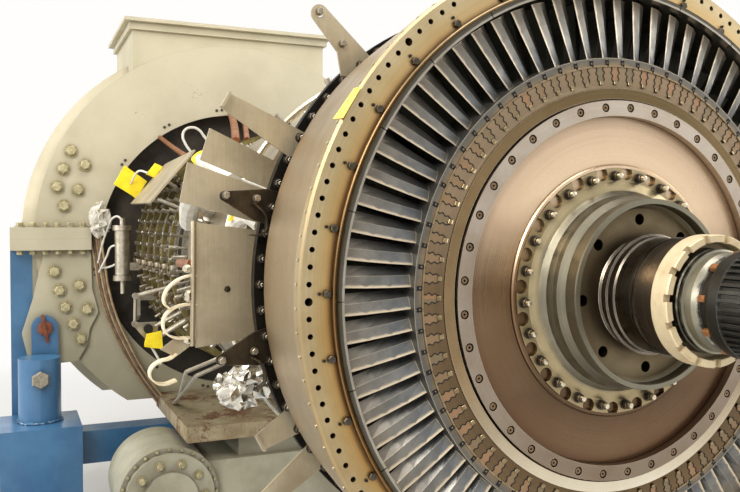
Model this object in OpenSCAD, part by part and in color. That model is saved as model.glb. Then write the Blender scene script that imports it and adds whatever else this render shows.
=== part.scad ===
/* [Rotor disc and rings] */
// Height of the rotor axis above the floor
axis_h = 1450; // [1420:10:1700]
// Radius of the screw circle on the cover ring
screw_circle_r = 400; // [396:1:404]
// Number of screws in the cover ring
screw_count = 37; // [12:1:60]
// Radial width of the cover ring
cover_ring_w = 33; // [28:1:38]
// Thickness of the cover ring
cover_ring_t = 22; // [14:1:30]
// Radius of the screw heads' counterbores
counterbore_r = 9.5; // [6:0.5:11]
// Radius of the disc's rim, at the top of the blade slots
rim_r = 487; // [480:1:492]
// Axial width of the disc's rim
rim_w = 92; // [70:1:110]
// Thickness of the disc's web
web_t = 62; // [40:1:80]
// Axial length of the disc's hub
hub_l = 134; // [115:1:150]
// Radius of the disc's hub
hub_r = 215; // [180:5:260]
// Thickness of the lip ring over the blade roots
lip_ring_t = 16; // [10:1:22]
// Radial width of the lip ring
lip_ring_w = 23; // [16:1:26]

/* [Blades] */
// Number of blades
blade_count = 74; // [40:2:80]
// Depth of the blade roots below the rim
root_depth = 34; // [26:1:38]
// Clearance between a blade root and its slot
root_gap = 0.3; // [0.2:0.05:0.6]
// Radial height of the blade platforms
platform_h = 20; // [12:1:26]
// Radial gap between the blade tips and the shroud
tip_gap = 6; // [5:0.5:12]
// Height of a blade from its platform to its tip
blade_h = 138; // [120:1:150]
// Axial chord of a blade at its platform
blade_chord = 74; // [50:1:80]
// Thickness of a blade at its platform
blade_t = 10; // [7:0.5:13]
// Turn of a blade's section from platform to tip, in degrees
blade_twist = 29; // [0:1:36]
// Angle of a blade's section at the platform, in degrees
blade_stagger = 26; // [8:1:27]

/* [Shaft and hub] */
// Radius of the shaft
shaft_r = 101; // [90:1:106]
// Length of the plain land behind the splines
land_l = 22; // [14:1:40]
// Length of the splines
spline_l = 107; // [90:1:150]
// Number of splines
spline_count = 44; // [24:1:52]
// Depth of the splines
spline_depth = 6; // [3:0.5:9]
// Radius of the hub flange
flange_r = 269; // [264:1:280]
// Thickness of the hub flange
flange_t = 9; // [7:0.5:14]
// Number of scallops round the hub flange
scallop_count = 24; // [12:1:30]
// Radius of a scallop
scallop_r = 15; // [10:1:18]
// Outer radius of the drum on the hub flange
drum_r = 197; // [188:1:203]
// Wall of the drum
drum_wall = 9; // [6:1:14]
// Length of the drum in front of the flange
drum_l = 104; // [90:2:120]
// Number of holes in the drum's inner web
web_hole_count = 8; // [5:1:12]
// Radius of the holes in the drum's inner web
web_hole_r = 12; // [8:0.5:15]
// Outer radius of the sleeve on the shaft
sleeve_r = 118; // [114:1:122]
// Length of the sleeve
sleeve_l = 160; // [145:1:180]
// Outer radius of the lock ring
lock_ring_r = 127; // [121:1:132]
// Length of the lock ring
lock_ring_l = 42; // [32:1:52]
// Number of notches in the lock ring
notch_count = 15; // [8:1:20]

/* [Turbine casing] */
// Wall of the shroud ring round the blade tips
shroud_wall = 12; // [8:1:16]
// Length of the shroud ring
shroud_l = 118; // [90:2:130]
// Number of segments that the shroud lip is cut into
shroud_segments = 24; // [12:1:48]
// Height of the exhaust flange past its hole circle
hole_edge = 21; // [16:1:40]
// Thickness of the exhaust flange
exhaust_flange_t = 28; // [20:1:36]
// Setback of the exhaust flange's face behind the cover ring
flange_setback = 38; // [34:1:44]
// Distance of the exhaust flange's hole circle outside the shroud ring
hole_setout = 50.7; // [46:0.1:56]
// Number of hole places round the exhaust flange
hole_places = 136; // [96:8:136]
// Radius of the small holes in the exhaust flange
small_hole_r = 5.5; // [4:0.5:6.5]
// Radius of the large holes in the exhaust flange
large_hole_r = 8; // [7:0.5:10]
// Number of large holes, evenly spaced among the places
large_hole_count = 8; // [4:4:8]
// Fall of the casing's radius from the exhaust flange to its rear edge
casing_taper = 32; // [20:1:36]
// Wall of the casing
casing_wall = 16; // [12:1:20]
// Length of the casing behind the exhaust flange
casing_l = 310; // [260:5:340]
// Height of the rear flange past the casing's rear edge
rear_flange_h = 6; // [2:1:30]
// Length of the neck between the casing and the rear flange
rear_neck_l = 64; // [50:2:80]
// Thickness of the rear flange
rear_flange_t = 22; // [14:2:40]
// Number of nozzle vanes
vane_count = 46; // [24:1:60]
// Running clearance of the shaft in its bearing
bearing_gap = 0.06; // [0.02:0.01:0.1]

/* [Radial brackets] */
// Thickness of the bracket plates
bracket_t = 6; // [4:1:10]
// Reach of the long straps past the rear flange
strap_reach = 181; // [91:5:241]
// Width of the long straps
strap_w = 72; // [40:2:90]
// Reach of the round-ended pipe brackets past the rear flange
pipe_bracket_reach = 96; // [70:2:130]
// Distance of the heat panels behind the turbine frame's front flange
panel_setback = 60; // [40:2:100]
// Reach of the heat panels past the rear flange
panel_reach = 122; // [70:2:170]

/* [Core casings] */
// Step from the rear flange down to the turbine frame
frame_step = 89; // [79:5:129]
// Length of the turbine frame
frame_l = 386; // [336:10:486]
// Radius of the combustor casing
combustor_r = 585; // [540:5:600]
// Length of the combustor casing
combustor_l = 950; // [800:10:1100]
// Radius of the compressor casing at the combustor
compressor_r = 500; // [460:5:520]
// Rise of the compressor casing's radius towards the intake
compressor_flare = 50; // [20:5:60]
// Radial height of the bolted flanges on the core casings
core_flange_h = 40; // [30:1:50]
// Thickness of the bolted flanges on the core casings
core_flange_t = 44; // [30:2:60]
// Number of guide vane rings
ring_count = 6; // [3:1:7]
// Distance between guide vane rings
ring_pitch = 165; // [120:5:175]
// Number of levers on each guide vane ring
lever_count = 24; // [12:2:30]

/* [Intake] */
// Distance from the cover ring back to the intake's front plate
intake_x = 3280; // [3200:10:3400]
// Height of the intake's centre above the rotor axis
intake_rise = 70; // [0:5:90]
// Outer radius of the intake's front plate
intake_plate_r = 1105; // [1090:5:1150]
// Radius of the hole in the intake's front plate
intake_hole_r = 780; // [740:5:790]
// Width of the side brackets under the split flanges
side_bracket_w = 350; // [300:5:400]
// Drop of the side brackets below the rotor axis
side_bracket_drop = 600; // [540:5:660]
// Thickness of the intake's plates
intake_plate_t = 20; // [12:1:30]
// Depth of the intake's front shell
front_shell_l = 320; // [260:10:400]
// Depth of the intake's rear shell
rear_shell_l = 540; // [480:10:640]
// Radial step from the front shell out to the rear shell
shell_step = 70; // [40:5:90]
// Wall of the intake's shells
shell_wall = 14; // [10:1:20]
// Distance of the flat underside below the rotor axis
belly_drop = 832; // [800:4:860]
// Width of the horizontal split flanges, across the machine
split_flange_w = 400; // [340:10:440]
// Height of the pair of split flanges
split_flange_h = 120; // [80:4:150]

/* [Inlet hood] */
// Width of the hood's duct
hood_w = 1152; // [1000:8:1200]
// Length of the hood's duct
hood_l = 740; // [600:10:800]
// Height of the hood's top above the rotor axis
hood_top = 1317; // [1300:5:1400]
// Wall of the hood's duct
hood_wall = 14; // [10:1:20]
// Width of the hood's top flange
hood_flange_w = 48; // [30:2:70]
// Thickness of the hood's top flange
hood_flange_t = 20; // [12:1:30]

/* [Gearbox] */
// Radius of the gearbox's round covers
gear_cover_r = 205; // [160:5:230]
// Drop of the round cover's centre below the rotor axis
gear_drop = 1118; // [1080:5:1140]
// Distance of the round cover's centre from the middle of the machine
gear_side = 560; // [500:5:600]
// Length of the gearbox along the machine
gear_l = 420; // [300:10:500]
// Width of the ledge under the compressor
ledge_w = 960; // [800:10:1040]
// Height of the ledge
ledge_h = 74; // [50:2:100]
// Reach of the ledge in front of the intake plate
ledge_l = 880; // [700:10:960]

/* [Stand] */
// Distance of the side columns from the middle of the machine
column_y = 1095; // [1070:5:1140]
// Width of the side columns
column_w = 380; // [320:10:420]
// Drop of the side columns' tops below the rotor axis
column_drop = 860; // [810:10:910]
// Radius of the round posts
post_r = 103; // [80:1:115]
// Height of the round posts
post_h = 325; // [260:5:360]
// Thickness of the lifting lugs
lug_t = 40; // [30:2:50]
// Half width of the lifting lugs
lug_r = 66; // [56:1:74]
// Radius of the pins in the lugs
lug_pin_r = 34; // [24:1:38]
// Height of the cross beams
beam_h = 170; // [120:5:200]
// Width of the cross beams
beam_w = 150; // [100:5:180]
// Height of the bottom rails
rail_h = 200; // [160:5:220]
// Width of the bottom rails
rail_w = 160; // [120:5:200]
// Thickness of the foot plates
foot_t = 25; // [16:1:40]
// Wall thickness of the saddle under the turbine casing
saddle_t = 40; // [30:2:60]
// Half angle that the saddle covers, in degrees
saddle_angle = 32; // [22:1:40]

/* [Hidden] */
$fn = 96;

// Gap between curved faces that seat on each other in one body
seat = 0.3;
// Gap between parts that turn and parts that stay, along the axis
run_gap = 10;

// Stations along the axis, from the cover ring's front face, plus towards the shaft end
ring_seat_x = -cover_ring_t;
disc_face_x = ring_seat_x + 2;
rim_front_x = -8;
rim_back_x = rim_front_x - rim_w;
web_back_x = ring_seat_x - web_t;
hub_back_x = disc_face_x - hub_l;
flange_front_x = disc_face_x + flange_t;
drum_front_x = flange_front_x + drum_l;
web_front_x = drum_front_x - 33;
sleeve_front_x = web_front_x + sleeve_l;
lock_front_x = sleeve_front_x + lock_ring_l;
head_back_x = lock_front_x + 60;
land_back_x = head_back_x + 8;
land_front_x = land_back_x + land_l;
spline_front_x = land_front_x + spline_l;
shroud_front_x = -14;
shroud_back_x = shroud_front_x - shroud_l;
exhaust_front_x = -flange_setback;
exhaust_back_x = exhaust_front_x - exhaust_flange_t;
casing_back_x = exhaust_back_x - casing_l;
rear_flange_front_x = casing_back_x - rear_neck_l;
rear_flange_back_x = rear_flange_front_x - rear_flange_t;
frame_flange_t = 18;
frame_flange_back_x = rear_flange_back_x - frame_flange_t;
bracket_x = rear_flange_front_x + bracket_t;
frame_back_x = rear_flange_back_x - frame_l;
combustor_front_x = frame_back_x - core_flange_t;
combustor_back_x = combustor_front_x - combustor_l;
compressor_front_x = combustor_back_x - core_flange_t;
plate_front_x = -intake_x;
plate_back_x = plate_front_x - intake_plate_t;
bulkhead_x = plate_back_x - 100;
bulkhead_t = 14;
compressor_back_x = bulkhead_x - bulkhead_t;
shell_step_x = plate_back_x - front_shell_l;
shell_back_x = shell_step_x - rear_shell_l;
back_plate_t = 16;
back_cover_t = 24;
rear_x = shell_back_x - back_plate_t - back_cover_t;

// Place of the cover ring's face in the part's frame, with the box's middle at the origin
face_x = -(spline_front_x + rear_x) / 2;

// Radii that follow from the driving sizes
ring_out_r = screw_circle_r + 15;
ring_in_r = ring_out_r - cover_ring_w;
sleeve_rib_r = sleeve_r + 8;
lip_in_r = ring_out_r + 4;
lip_out_r = lip_in_r + lip_ring_w;
slot_floor_r = rim_r - root_depth;
platform_r = rim_r + root_gap + platform_h;
tip_r = platform_r + blade_h;
shroud_in_r = tip_r + tip_gap;
shroud_out_r = shroud_in_r + shroud_wall;
hole_circle_r = shroud_out_r + hole_setout;
exhaust_flange_r = hole_circle_r + hole_edge;
casing_front_r = exhaust_flange_r - 1;
casing_rear_r = casing_front_r - casing_taper;
rear_flange_r = casing_rear_r + rear_flange_h;
frame_r = rear_flange_r - frame_step;
rear_in_r = casing_rear_r - casing_wall;
rear_neck_r = casing_rear_r - 26;
rear_neck_in_r = rear_neck_r - 16;
nozzle_in_r = slot_floor_r + 28;
shell_front_r = intake_plate_r - 10;
shell_rear_r = shell_front_r + shell_step;

// Puts children at a station, with their Z along the rotor axis
module station(x) {
    translate([face_x + x, 0, axis_h])
        rotate([0, 90, 0])
            children();
}

// Turns children about the rotor axis to an angle from +Y towards +Z
module around(angle) {
    rotate([0, 0, 90 + angle])
        children();
}

// A ring with straight walls between two stations
module ring(x0, x1, r_in, r_out) {
    station(min(x0, x1))
        rotate_extrude()
            translate([r_in, 0])
                square([r_out - r_in, abs(x1 - x0)]);
}

// A solid of revolution whose points are [radius, station]
module turned(points) {
    station(0)
        rotate_extrude()
            polygon(points);
}

// A box by its lowest and highest corners, stations along X and heights from the rotor axis
module block(low, high) {
    translate([face_x + low[0], low[1], axis_h + low[2]])
        cube(high - low);
}

// Mirrors children to the other side of the machine and keeps the first
module both_sides() {
    children();
    mirror([0, 1, 0])
        children();
}

// Fir-tree outline of a blade root: half widths and depth shares below the rim
fir_tree = [[9.5, 0], [7.5, 0.14], [11.5, 0.34], [6.5, 0.54], [9.2, 0.74], [4.5, 1]];

// Outline of a root or, with a gap, of its slot, in [tangential, radial] axes
module fir_tree_outline(gap, top) {
    right = [for (p = fir_tree) [p[0] + gap, rim_r - p[1] * root_depth - (p[1] == 1 ? gap : 0)]];
    left = [for (i = [len(right) - 1:-1:0]) [-right[i][0], right[i][1]]];
    polygon(concat([[right[0][0], top]], right, left, [[-right[0][0], top]]));
}

// Slots along the rotor axis for every blade root
module root_slots() {
    for (i = [0:blade_count - 1])
        around(i * 360 / blade_count)
            translate([0, 0, -1])
                rotate([0, 0, -90])
                    linear_extrude(rim_w + 2)
                        fir_tree_outline(root_gap, rim_r + 2);
}

module turbine_disc() {
    spigot_in_r = flange_r + seat;
    spigot_w = 9;
    spigot_x = disc_face_x + flange_t * 0.7;
    color("rosybrown")
        difference() {
            turned([[shaft_r + seat, hub_back_x], [shaft_r + seat, disc_face_x],
                [spigot_in_r, disc_face_x], [spigot_in_r, spigot_x], [spigot_in_r + spigot_w - 3, spigot_x],
                [spigot_in_r + spigot_w, spigot_x - 3], [spigot_in_r + spigot_w, disc_face_x],
                [ring_in_r - seat, disc_face_x], [ring_in_r - seat, ring_seat_x],
                [lip_out_r + seat, ring_seat_x], [lip_out_r + seat, rim_front_x],
                [rim_r, rim_front_x], [rim_r, rim_back_x], [slot_floor_r - 26, rim_back_x],
                [slot_floor_r - 48, web_back_x], [hub_r + 34, web_back_x], [hub_r, hub_back_x]]);
            station(rim_back_x)
                root_slots();
        }
}

// Half thickness of the blade section at a share of its chord
function blade_half(t) = 1.3 * blade_t * sqrt(t) * (1 - t) + 0.8;
// Camber of the blade section at a share of its chord
function blade_camber(t) = 0.9 * blade_chord * 0.22 * 4 * t * (1 - t);

// Outline of the blade section, [chord, camber] points round it from the leading edge
function blade_outline() = let (t = [0.12, 0.4, 0.72]) concat(
    [[-blade_chord / 2, 0]],
    [for (k = [0:2]) [blade_chord * (t[k] - 0.5), blade_camber(t[k]) + blade_half(t[k])]],
    [[blade_chord / 2, 0]],
    [for (k = [2:-1:0]) [blade_chord * (t[k] - 0.5), blade_camber(t[k]) - blade_half(t[k])]]);

// The outline at a share of the blade's height, as [tangential, radial, axial] points
function blade_ring(s) = let (turn = -blade_stagger - blade_twist * s, slim = [1 - 0.06 * s, 1 - 0.25 * s])
    [for (p = blade_outline()) let (c = p[0] * slim[0], m = p[1] * slim[1] - 4)
        [c * sin(turn) + m * cos(turn), platform_r - 2 + (blade_h + 2) * s,
            rim_w / 2 + c * cos(turn) - m * sin(turn)]];

// Twisted blade, lofted through rings of points
module airfoil() {
    bands = 3;
    n = len(blade_outline());
    points = [for (j = [0:bands]) for (p = blade_ring(j / bands)) p];
    sides = [for (j = [0:bands - 1]) for (i = [0:n - 1]) let (k = (i + 1) % n)
        each [[j * n + i, (j + 1) * n + k, (j + 1) * n + i], [j * n + i, j * n + k, (j + 1) * n + k]]];
    polyhedron(points, concat(sides, [[for (i = [n - 1:-1:0]) i], [for (i = [0:n - 1]) bands * n + i]]));
}

// One blade: fir-tree root, platform and twisted blade, pointing along local Y
module blade() {
    half = tan(180 / blade_count);
    platform_base = rim_r + root_gap;
    linear_extrude(rim_w)
        fir_tree_outline(0, platform_base + 1);
    linear_extrude(rim_w)
        polygon([[-platform_base * half + 0.2, platform_base], [platform_base * half - 0.2, platform_base],
            [platform_r * half - 0.2, platform_r], [-platform_r * half + 0.2, platform_r]]);
    airfoil();
}

module turbine_blades() {
    color("slategray")
        station(rim_back_x)
            for (i = [0:blade_count - 1])
                around(i * 360 / blade_count)
                    rotate([0, 0, -90])
                        blade();
}

module blade_lip_ring() {
    color("darkkhaki")
        ring(ring_seat_x, ring_seat_x + lip_ring_t, lip_in_r, lip_out_r);
}

module cover_ring() {
    color("silver")
        difference() {
            ring(ring_seat_x, 0, ring_in_r, ring_out_r);
            station(-cover_ring_t / 2)
                for (i = [0:screw_count - 1])
                    around(i * 360 / screw_count)
                        translate([screw_circle_r, 0, 0])
                            cylinder(r = counterbore_r, h = cover_ring_t);
        }
}

module hub_flange() {
    drum_in_r = drum_r - drum_wall;
    base_r = drum_r + 9;
    color("tan")
        difference() {
            turned([[shaft_r + seat, disc_face_x], [flange_r, disc_face_x], [flange_r, flange_front_x],
                [base_r + 34, flange_front_x], [base_r + 14, flange_front_x + 8],
                [base_r + 4, flange_front_x + 20], [base_r, flange_front_x + 37],
                [base_r, flange_front_x + 50], [drum_r, flange_front_x + 67], [drum_r + 3, drum_front_x - 4],
                [drum_r + 2, drum_front_x], [drum_in_r + 1, drum_front_x], [drum_in_r, drum_front_x - 2],
                [drum_in_r, web_front_x + 8], [drum_in_r - 8, web_front_x], [shaft_r + seat, web_front_x]]);
            station(disc_face_x - 1)
                for (i = [0:scallop_count - 1])
                    around((i + 0.75) * 360 / scallop_count)
                        translate([flange_r - 10, 0, 0])
                            cylinder(r = scallop_r, h = flange_t + 2, $fn = 32);
            station(web_front_x - 40)
                for (i = [0:web_hole_count - 1])
                    around((i + 0.08) * 360 / web_hole_count)
                        translate([(drum_in_r + sleeve_rib_r) / 2, 0, 0])
                            cylinder(r = web_hole_r, h = 41, $fn = 32);
        }
}

module shaft_sleeve() {
    neck_r = sleeve_r - 5;
    rib_x = web_front_x + 24;
    groove_x = sleeve_front_x - 60;
    color("dimgray")
        turned([[shaft_r + seat, web_front_x], [neck_r + 4, web_front_x], [neck_r, web_front_x + 4],
            [neck_r, rib_x - 2], [sleeve_rib_r - 2, rib_x], [sleeve_rib_r, rib_x + 3],
            [sleeve_rib_r, rib_x + 9],
            [sleeve_r + 4, rib_x + 11], [sleeve_r + 3, rib_x + 25], [sleeve_r, rib_x + 28],
            [sleeve_r, groove_x - 6], [sleeve_r + 2, groove_x - 3], [sleeve_r + 2, groove_x],
            [neck_r + 2, groove_x],
            [neck_r + 2, groove_x + 8], [sleeve_r, groove_x + 8], [sleeve_r, sleeve_front_x],
            [shaft_r + seat, sleeve_front_x]]);
}

module lock_ring() {
    notch_w = 13.5;
    notch_depth = 8;
    bore_r = lock_ring_r - 15;
    color("antiquewhite")
        difference() {
            turned([[shaft_r + seat, sleeve_front_x], [lock_ring_r - 2, sleeve_front_x],
                [lock_ring_r, sleeve_front_x + 2], [lock_ring_r, lock_front_x - 3],
                [lock_ring_r - 2, lock_front_x],
                [bore_r + 1, lock_front_x], [bore_r, lock_front_x - 1], [bore_r, sleeve_front_x + 12],
                [shaft_r + seat, sleeve_front_x + 12]]);
            station(lock_front_x - notch_depth)
                for (i = [0:notch_count - 1])
                    around((i + 0.3) * 360 / notch_count)
                        translate([bore_r - 2, -notch_w / 2, 0])
                            cube([20, notch_w, notch_depth + 1]);
        }
}

module splined_shaft() {
    journal_back_x = casing_back_x + 12;
    land_r = shaft_r - 1;
    neck_r = land_r - 12;
    root_r = land_r - spline_depth;
    spline_tip_r = land_r - 0.6;
    tooth_w = PI * shaft_r / spline_count;
    color("darkslategray") {
        turned([[0, journal_back_x], [shaft_r - 4, journal_back_x], [shaft_r, journal_back_x + 4],
            [shaft_r, lock_front_x - 4], [shaft_r - 2, lock_front_x - 2], [shaft_r - 2, lock_front_x + 8],
            [neck_r + 7, lock_front_x + 10], [neck_r + 6.5, lock_front_x + 26],
            [neck_r + 3, lock_front_x + 39],
            [neck_r, lock_front_x + 41], [neck_r, head_back_x], [land_r - 8, head_back_x],
            [land_r - 2.5, head_back_x + 2], [land_r, land_back_x], [land_r, land_front_x],
            [root_r, land_front_x + 3], [root_r, spline_front_x - 6], [root_r - 6, spline_front_x],
            [0, spline_front_x]]);
        station(land_front_x - 1)
            linear_extrude(spline_l - 5)
                for (i = [0:spline_count - 1])
                    rotate(i * 360 / spline_count)
                        polygon([[root_r - 2, -tooth_w * 0.55], [spline_tip_r, -tooth_w * 0.34],
                            [spline_tip_r, tooth_w * 0.34], [root_r - 2, tooth_w * 0.55]]);
    }
}

module exhaust_flange() {
    places_per_large = hole_places / large_hole_count;
    flange_in_r = shroud_out_r + seat;
    lip_r = flange_in_r + 5.5;
    lip_front_x = exhaust_front_x + 12;
    edge = 5;
    color("darkgoldenrod")
        difference() {
            turned([[flange_in_r, exhaust_back_x], [exhaust_flange_r, exhaust_back_x],
                [exhaust_flange_r, exhaust_front_x - edge], [exhaust_flange_r - edge, exhaust_front_x],
                [lip_r, exhaust_front_x], [lip_r, lip_front_x - 2],
                [lip_r - 2, lip_front_x], [flange_in_r, lip_front_x]]);
            station(exhaust_back_x - 1)
                for (i = [0:hole_places - 1])
                    around(i * 360 / hole_places)
                        translate([hole_circle_r, 0, 0])
                            cylinder(r = i % places_per_large == 0 ? large_hole_r : small_hole_r,
                                h = exhaust_flange_t + 2, $fn = 24);
        }
}

module shroud_ring() {
    slit_w = 2;
    slit_l = 16;
    color("lightgray")
        difference() {
            ring(shroud_back_x, shroud_front_x, shroud_in_r, shroud_out_r);
            station(shroud_front_x - slit_l)
                for (i = [0:shroud_segments - 1])
                    around(i * 360 / shroud_segments)
                        translate([shroud_in_r - 1, -slit_w / 2, 0])
                            cube([shroud_wall + 2, slit_w, slit_l + 1]);
        }
}

module turbine_casing() {
    color("rosybrown")
        turned([[casing_front_r - casing_wall, exhaust_back_x], [casing_front_r, exhaust_back_x],
            [casing_rear_r, casing_back_x], [rear_in_r, casing_back_x]]);
}

module nozzle_ring() {
    vane_t = 7;
    vane_chord = 62;
    band_front_x = rim_back_x - run_gap;
    outer_band_x = shroud_back_x - 0.5;
    band_w = 22;
    outer_band_r = shroud_in_r + 28;
    color("gray") {
        ring(casing_back_x, band_front_x, nozzle_in_r, nozzle_in_r + band_w);
        ring(casing_back_x, outer_band_x, shroud_in_r, outer_band_r);
        station(outer_band_x - 34)
            for (i = [0:vane_count - 1])
                around(i * 360 / vane_count)
                    translate([nozzle_in_r + band_w - 2, 0, 0])
                        rotate([32, 0, 0])
                            translate([0, -vane_t / 2, -vane_chord / 2])
                                cube([shroud_in_r - nozzle_in_r - band_w + 8, vane_t, vane_chord]);
    }
}

module bearing_housing() {
    front_x = hub_back_x - run_gap;
    color("gray")
        ring(casing_back_x, front_x, shaft_r + bearing_gap, nozzle_in_r - seat);
}

module rear_flange() {
    seat_lip_r = casing_rear_r - 4;
    seat_lip_x = casing_back_x - 12;
    color("dimgray")
        turned([[rear_neck_in_r, rear_flange_back_x], [rear_flange_r, rear_flange_back_x],
            [rear_flange_r, rear_flange_front_x], [rear_neck_r, rear_flange_front_x],
            [rear_neck_r, seat_lip_x], [seat_lip_r, seat_lip_x],
            [seat_lip_r, casing_back_x], [rear_neck_in_r, casing_back_x]]);
}

module turbine_frame() {
    color("gray")
        turned([[0, casing_back_x], [rear_neck_in_r - seat, casing_back_x],
            [rear_neck_in_r - seat, rear_flange_back_x],
            [rear_flange_r - 6, rear_flange_back_x], [rear_flange_r - 6, frame_flange_back_x],
            [frame_r + 20, frame_flange_back_x], [frame_r, frame_flange_back_x - 60],
            [frame_r - 30, frame_back_x], [0, frame_back_x]]);
}

// Radius at which the bracket plates start, on the front of the rear flange
bracket_foot_r = rear_neck_r + 2;

// A flat plate square to the rotor axis, drawn in [radial, tangential] axes at an angle
module radial_plate(x, angle) {
    station(x - bracket_t)
        around(angle)
            linear_extrude(bracket_t)
                children();
}

// Long straps: angle and share of the reach
straps = [[151, 1], [207.7, 0.45], [216.5, 1]];
round_strap_angle = 130;
module radial_straps() {
    foot_r = bracket_foot_r;
    round_end_r = rear_flange_r + strap_reach * 0.77;
    round_w = strap_w * 0.3;
    tip_w = strap_w * 0.27;
    turned_w = 22;
    color("gray")
        both_sides() {
            radial_plate(bracket_x, round_strap_angle)
                difference() {
                    union() {
                        polygon([[foot_r, -round_w * 2], [round_end_r, -round_w],
                            [round_end_r, round_w], [rear_flange_r + 44, round_w], [foot_r, round_w * 3]]);
                        translate([round_end_r, 0])
                            circle(r = round_w, $fn = 40);
                    }
                    translate([round_end_r, 0])
                        circle(r = round_w * 0.4, $fn = 32);
                }
            for (s = straps) {
                end_r = rear_flange_r + strap_reach * s[1];
                radial_plate(bracket_x, s[0])
                    polygon([[foot_r, -strap_w / 2], [end_r, -tip_w], [end_r, tip_w],
                        [foot_r, strap_w / 2]]);
                station(bracket_x - bracket_t)
                    around(s[0])
                        translate([end_r - bracket_t, -tip_w, 0])
                            cube([bracket_t, tip_w * 2, turned_w]);
            }
        }
}

pipe_bracket_angles = [164.8, 191.8];
module pipe_brackets() {
    foot_r = bracket_foot_r;
    end_r = rear_flange_r + pipe_bracket_reach;
    eye_r = 12;
    eye_hole_r = 5.5;
    root_w = 44;
    color("dimgray")
        both_sides()
            for (a = pipe_bracket_angles)
                radial_plate(bracket_x, a)
                    difference() {
                        union() {
                            polygon([[foot_r, -root_w], [rear_flange_r + 4, -root_w], [end_r, -eye_r],
                                [end_r, eye_r], [rear_flange_r + 16, root_w - 8], [foot_r, root_w - 8]]);
                            translate([end_r, 0])
                                circle(r = eye_r, $fn = 32);
                        }
                        translate([end_r, 0])
                            circle(r = eye_hole_r, $fn = 32);
                    }
}

// Heat panels: angle of the middle, angle covered and extra reach as a share of the reach
panels = [[179.9, 20.6, 0], [163.8, 6.2, 0.48], [157, 5.2, 0.336]];
module heat_panels() {
    x = frame_flange_back_x - panel_setback;
    foot_r = frame_r + 21;
    color("darkgray")
        both_sides()
            for (p = panels) {
                end_r = rear_flange_r + panel_reach * (1 + p[2]);
                half = end_r * tan(p[1] / 2);
                radial_plate(x, p[0])
                    polygon([[foot_r, -half * 0.84], [end_r, -half], [end_r - 8, half],
                        [foot_r, half * 0.84]]);
                station(x - bracket_t)
                    around(p[0])
                        translate([foot_r, -half * 0.8, 0])
                            cube([bracket_t, half * 1.6, panel_setback + bracket_t]);
            }
}

module core_flanges() {
    color("gray") {
        ring(combustor_front_x, frame_back_x, 0, frame_r - 30 + core_flange_h);
        ring(compressor_front_x, combustor_back_x, 0, compressor_r + 30 + core_flange_h);
    }
}

module combustor_casing() {
    third = combustor_l / 3;
    color("lightgray")
        turned([[0, combustor_back_x], [compressor_r + 30, combustor_back_x],
            [combustor_r, combustor_back_x + third * 0.6], [combustor_r, combustor_back_x + 2 * third],
            [combustor_r - 26, combustor_front_x], [0, combustor_front_x]]);
}

// Radius of the compressor casing at a station
function compressor_radius(x) = compressor_r
    + compressor_flare * (compressor_front_x - x) / (compressor_front_x - compressor_back_x);

module compressor_casing() {
    rib_w = 14;
    rib_h = 16;
    color("darkgray") {
        turned([[0, compressor_back_x], [compressor_radius(compressor_back_x), compressor_back_x],
            [compressor_radius(bulkhead_x), compressor_back_x],
            [compressor_radius(bulkhead_x), bulkhead_x], [compressor_r, compressor_front_x],
            [0, compressor_front_x]]);
        for (i = [0:ring_count - 1])
            ring(ring_x(i) - 40, ring_x(i) - 40 - rib_w, compressor_r - 10,
                compressor_radius(ring_x(i)) + rib_h);
    }
}

// Station of a guide vane ring
function ring_x(i) = plate_front_x + 150 + i * ring_pitch;

// Space that the compressor casing takes, with the seating gap round it
module compressor_space() {
    turned([[0, compressor_back_x], [compressor_radius(compressor_back_x) + seat, compressor_back_x],
        [compressor_r + seat, compressor_front_x], [0, compressor_front_x]]);
}

lever_lift = 46;
ring_section_h = 20;
ring_section_w = 24;
module vane_rings() {
    color("darkolivegreen")
        for (i = [0:ring_count - 1])
            ring(ring_x(i), ring_x(i) + ring_section_w, compressor_radius(ring_x(i)) + lever_lift,
                compressor_radius(ring_x(i)) + lever_lift + ring_section_h);
}

module vane_levers() {
    boss_r = 11;
    lever_w = 16;
    lever_t = 8;
    lever_l = 52;
    color("silver")
        for (i = [0:ring_count - 1])
            for (k = [0:lever_count - 1])
                station(ring_x(i) + ring_section_w)
                    around(k * 360 / lever_count + i * 3) {
                        translate([compressor_radius(ring_x(i)) + lever_lift + 4, -lever_w / 2, 0])
                            cube([lever_t, lever_w, lever_l]);
                        translate([compressor_radius(ring_x(i) + ring_section_w + lever_l) + 2 * seat,
                            0, lever_l])
                            rotate([0, 90, 0])
                                cylinder(r = boss_r, h = lever_lift + 16, $fn = 24);
                    }
}

module actuator() {
    body_r = 40;
    rod_r = 14;
    side = compressor_radius(ring_x(0)) + lever_lift + ring_section_h + 76;
    x = ring_x(0) + 60;
    color("lightgray") {
        translate([face_x + x, -side, axis_h - 130]) {
            cylinder(r = body_r, h = 250);
            translate([0, 0, -90])
                cylinder(r = rod_r, h = 400, $fn = 32);
            translate([0, 0, 245])
                cylinder(r = body_r + 10, h = 26);
            translate([0, 0, -20])
                cylinder(r = body_r + 10, h = 26);
        }
        difference() {
            block([x - 24, -side, -96], [x + 24, -compressor_r * 0.9, -56]);
            compressor_space();
        }
    }
}

module bell_crank() {
    x = ring_x(1) + 80;
    z = -270;
    y = -(compressor_radius(ring_x(1)) + lever_lift + ring_section_h + 30);
    plate_t = 14;
    color("gray")
        translate([face_x + x, y, axis_h + z]) {
            rotate([90, 0, 0])
                linear_extrude(plate_t)
                    difference() {
                        polygon([[-70, 60], [80, 60], [80, -40], [20, -70], [-70, 30]]);
                        circle(r = 24, $fn = 48);
                    }
        }
    color("gray")
        difference() {
            block([x + 12, y - 1, z + 30], [x + 28, -compressor_r * 0.7, z + 55]);
            compressor_space();
        }
}

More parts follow.
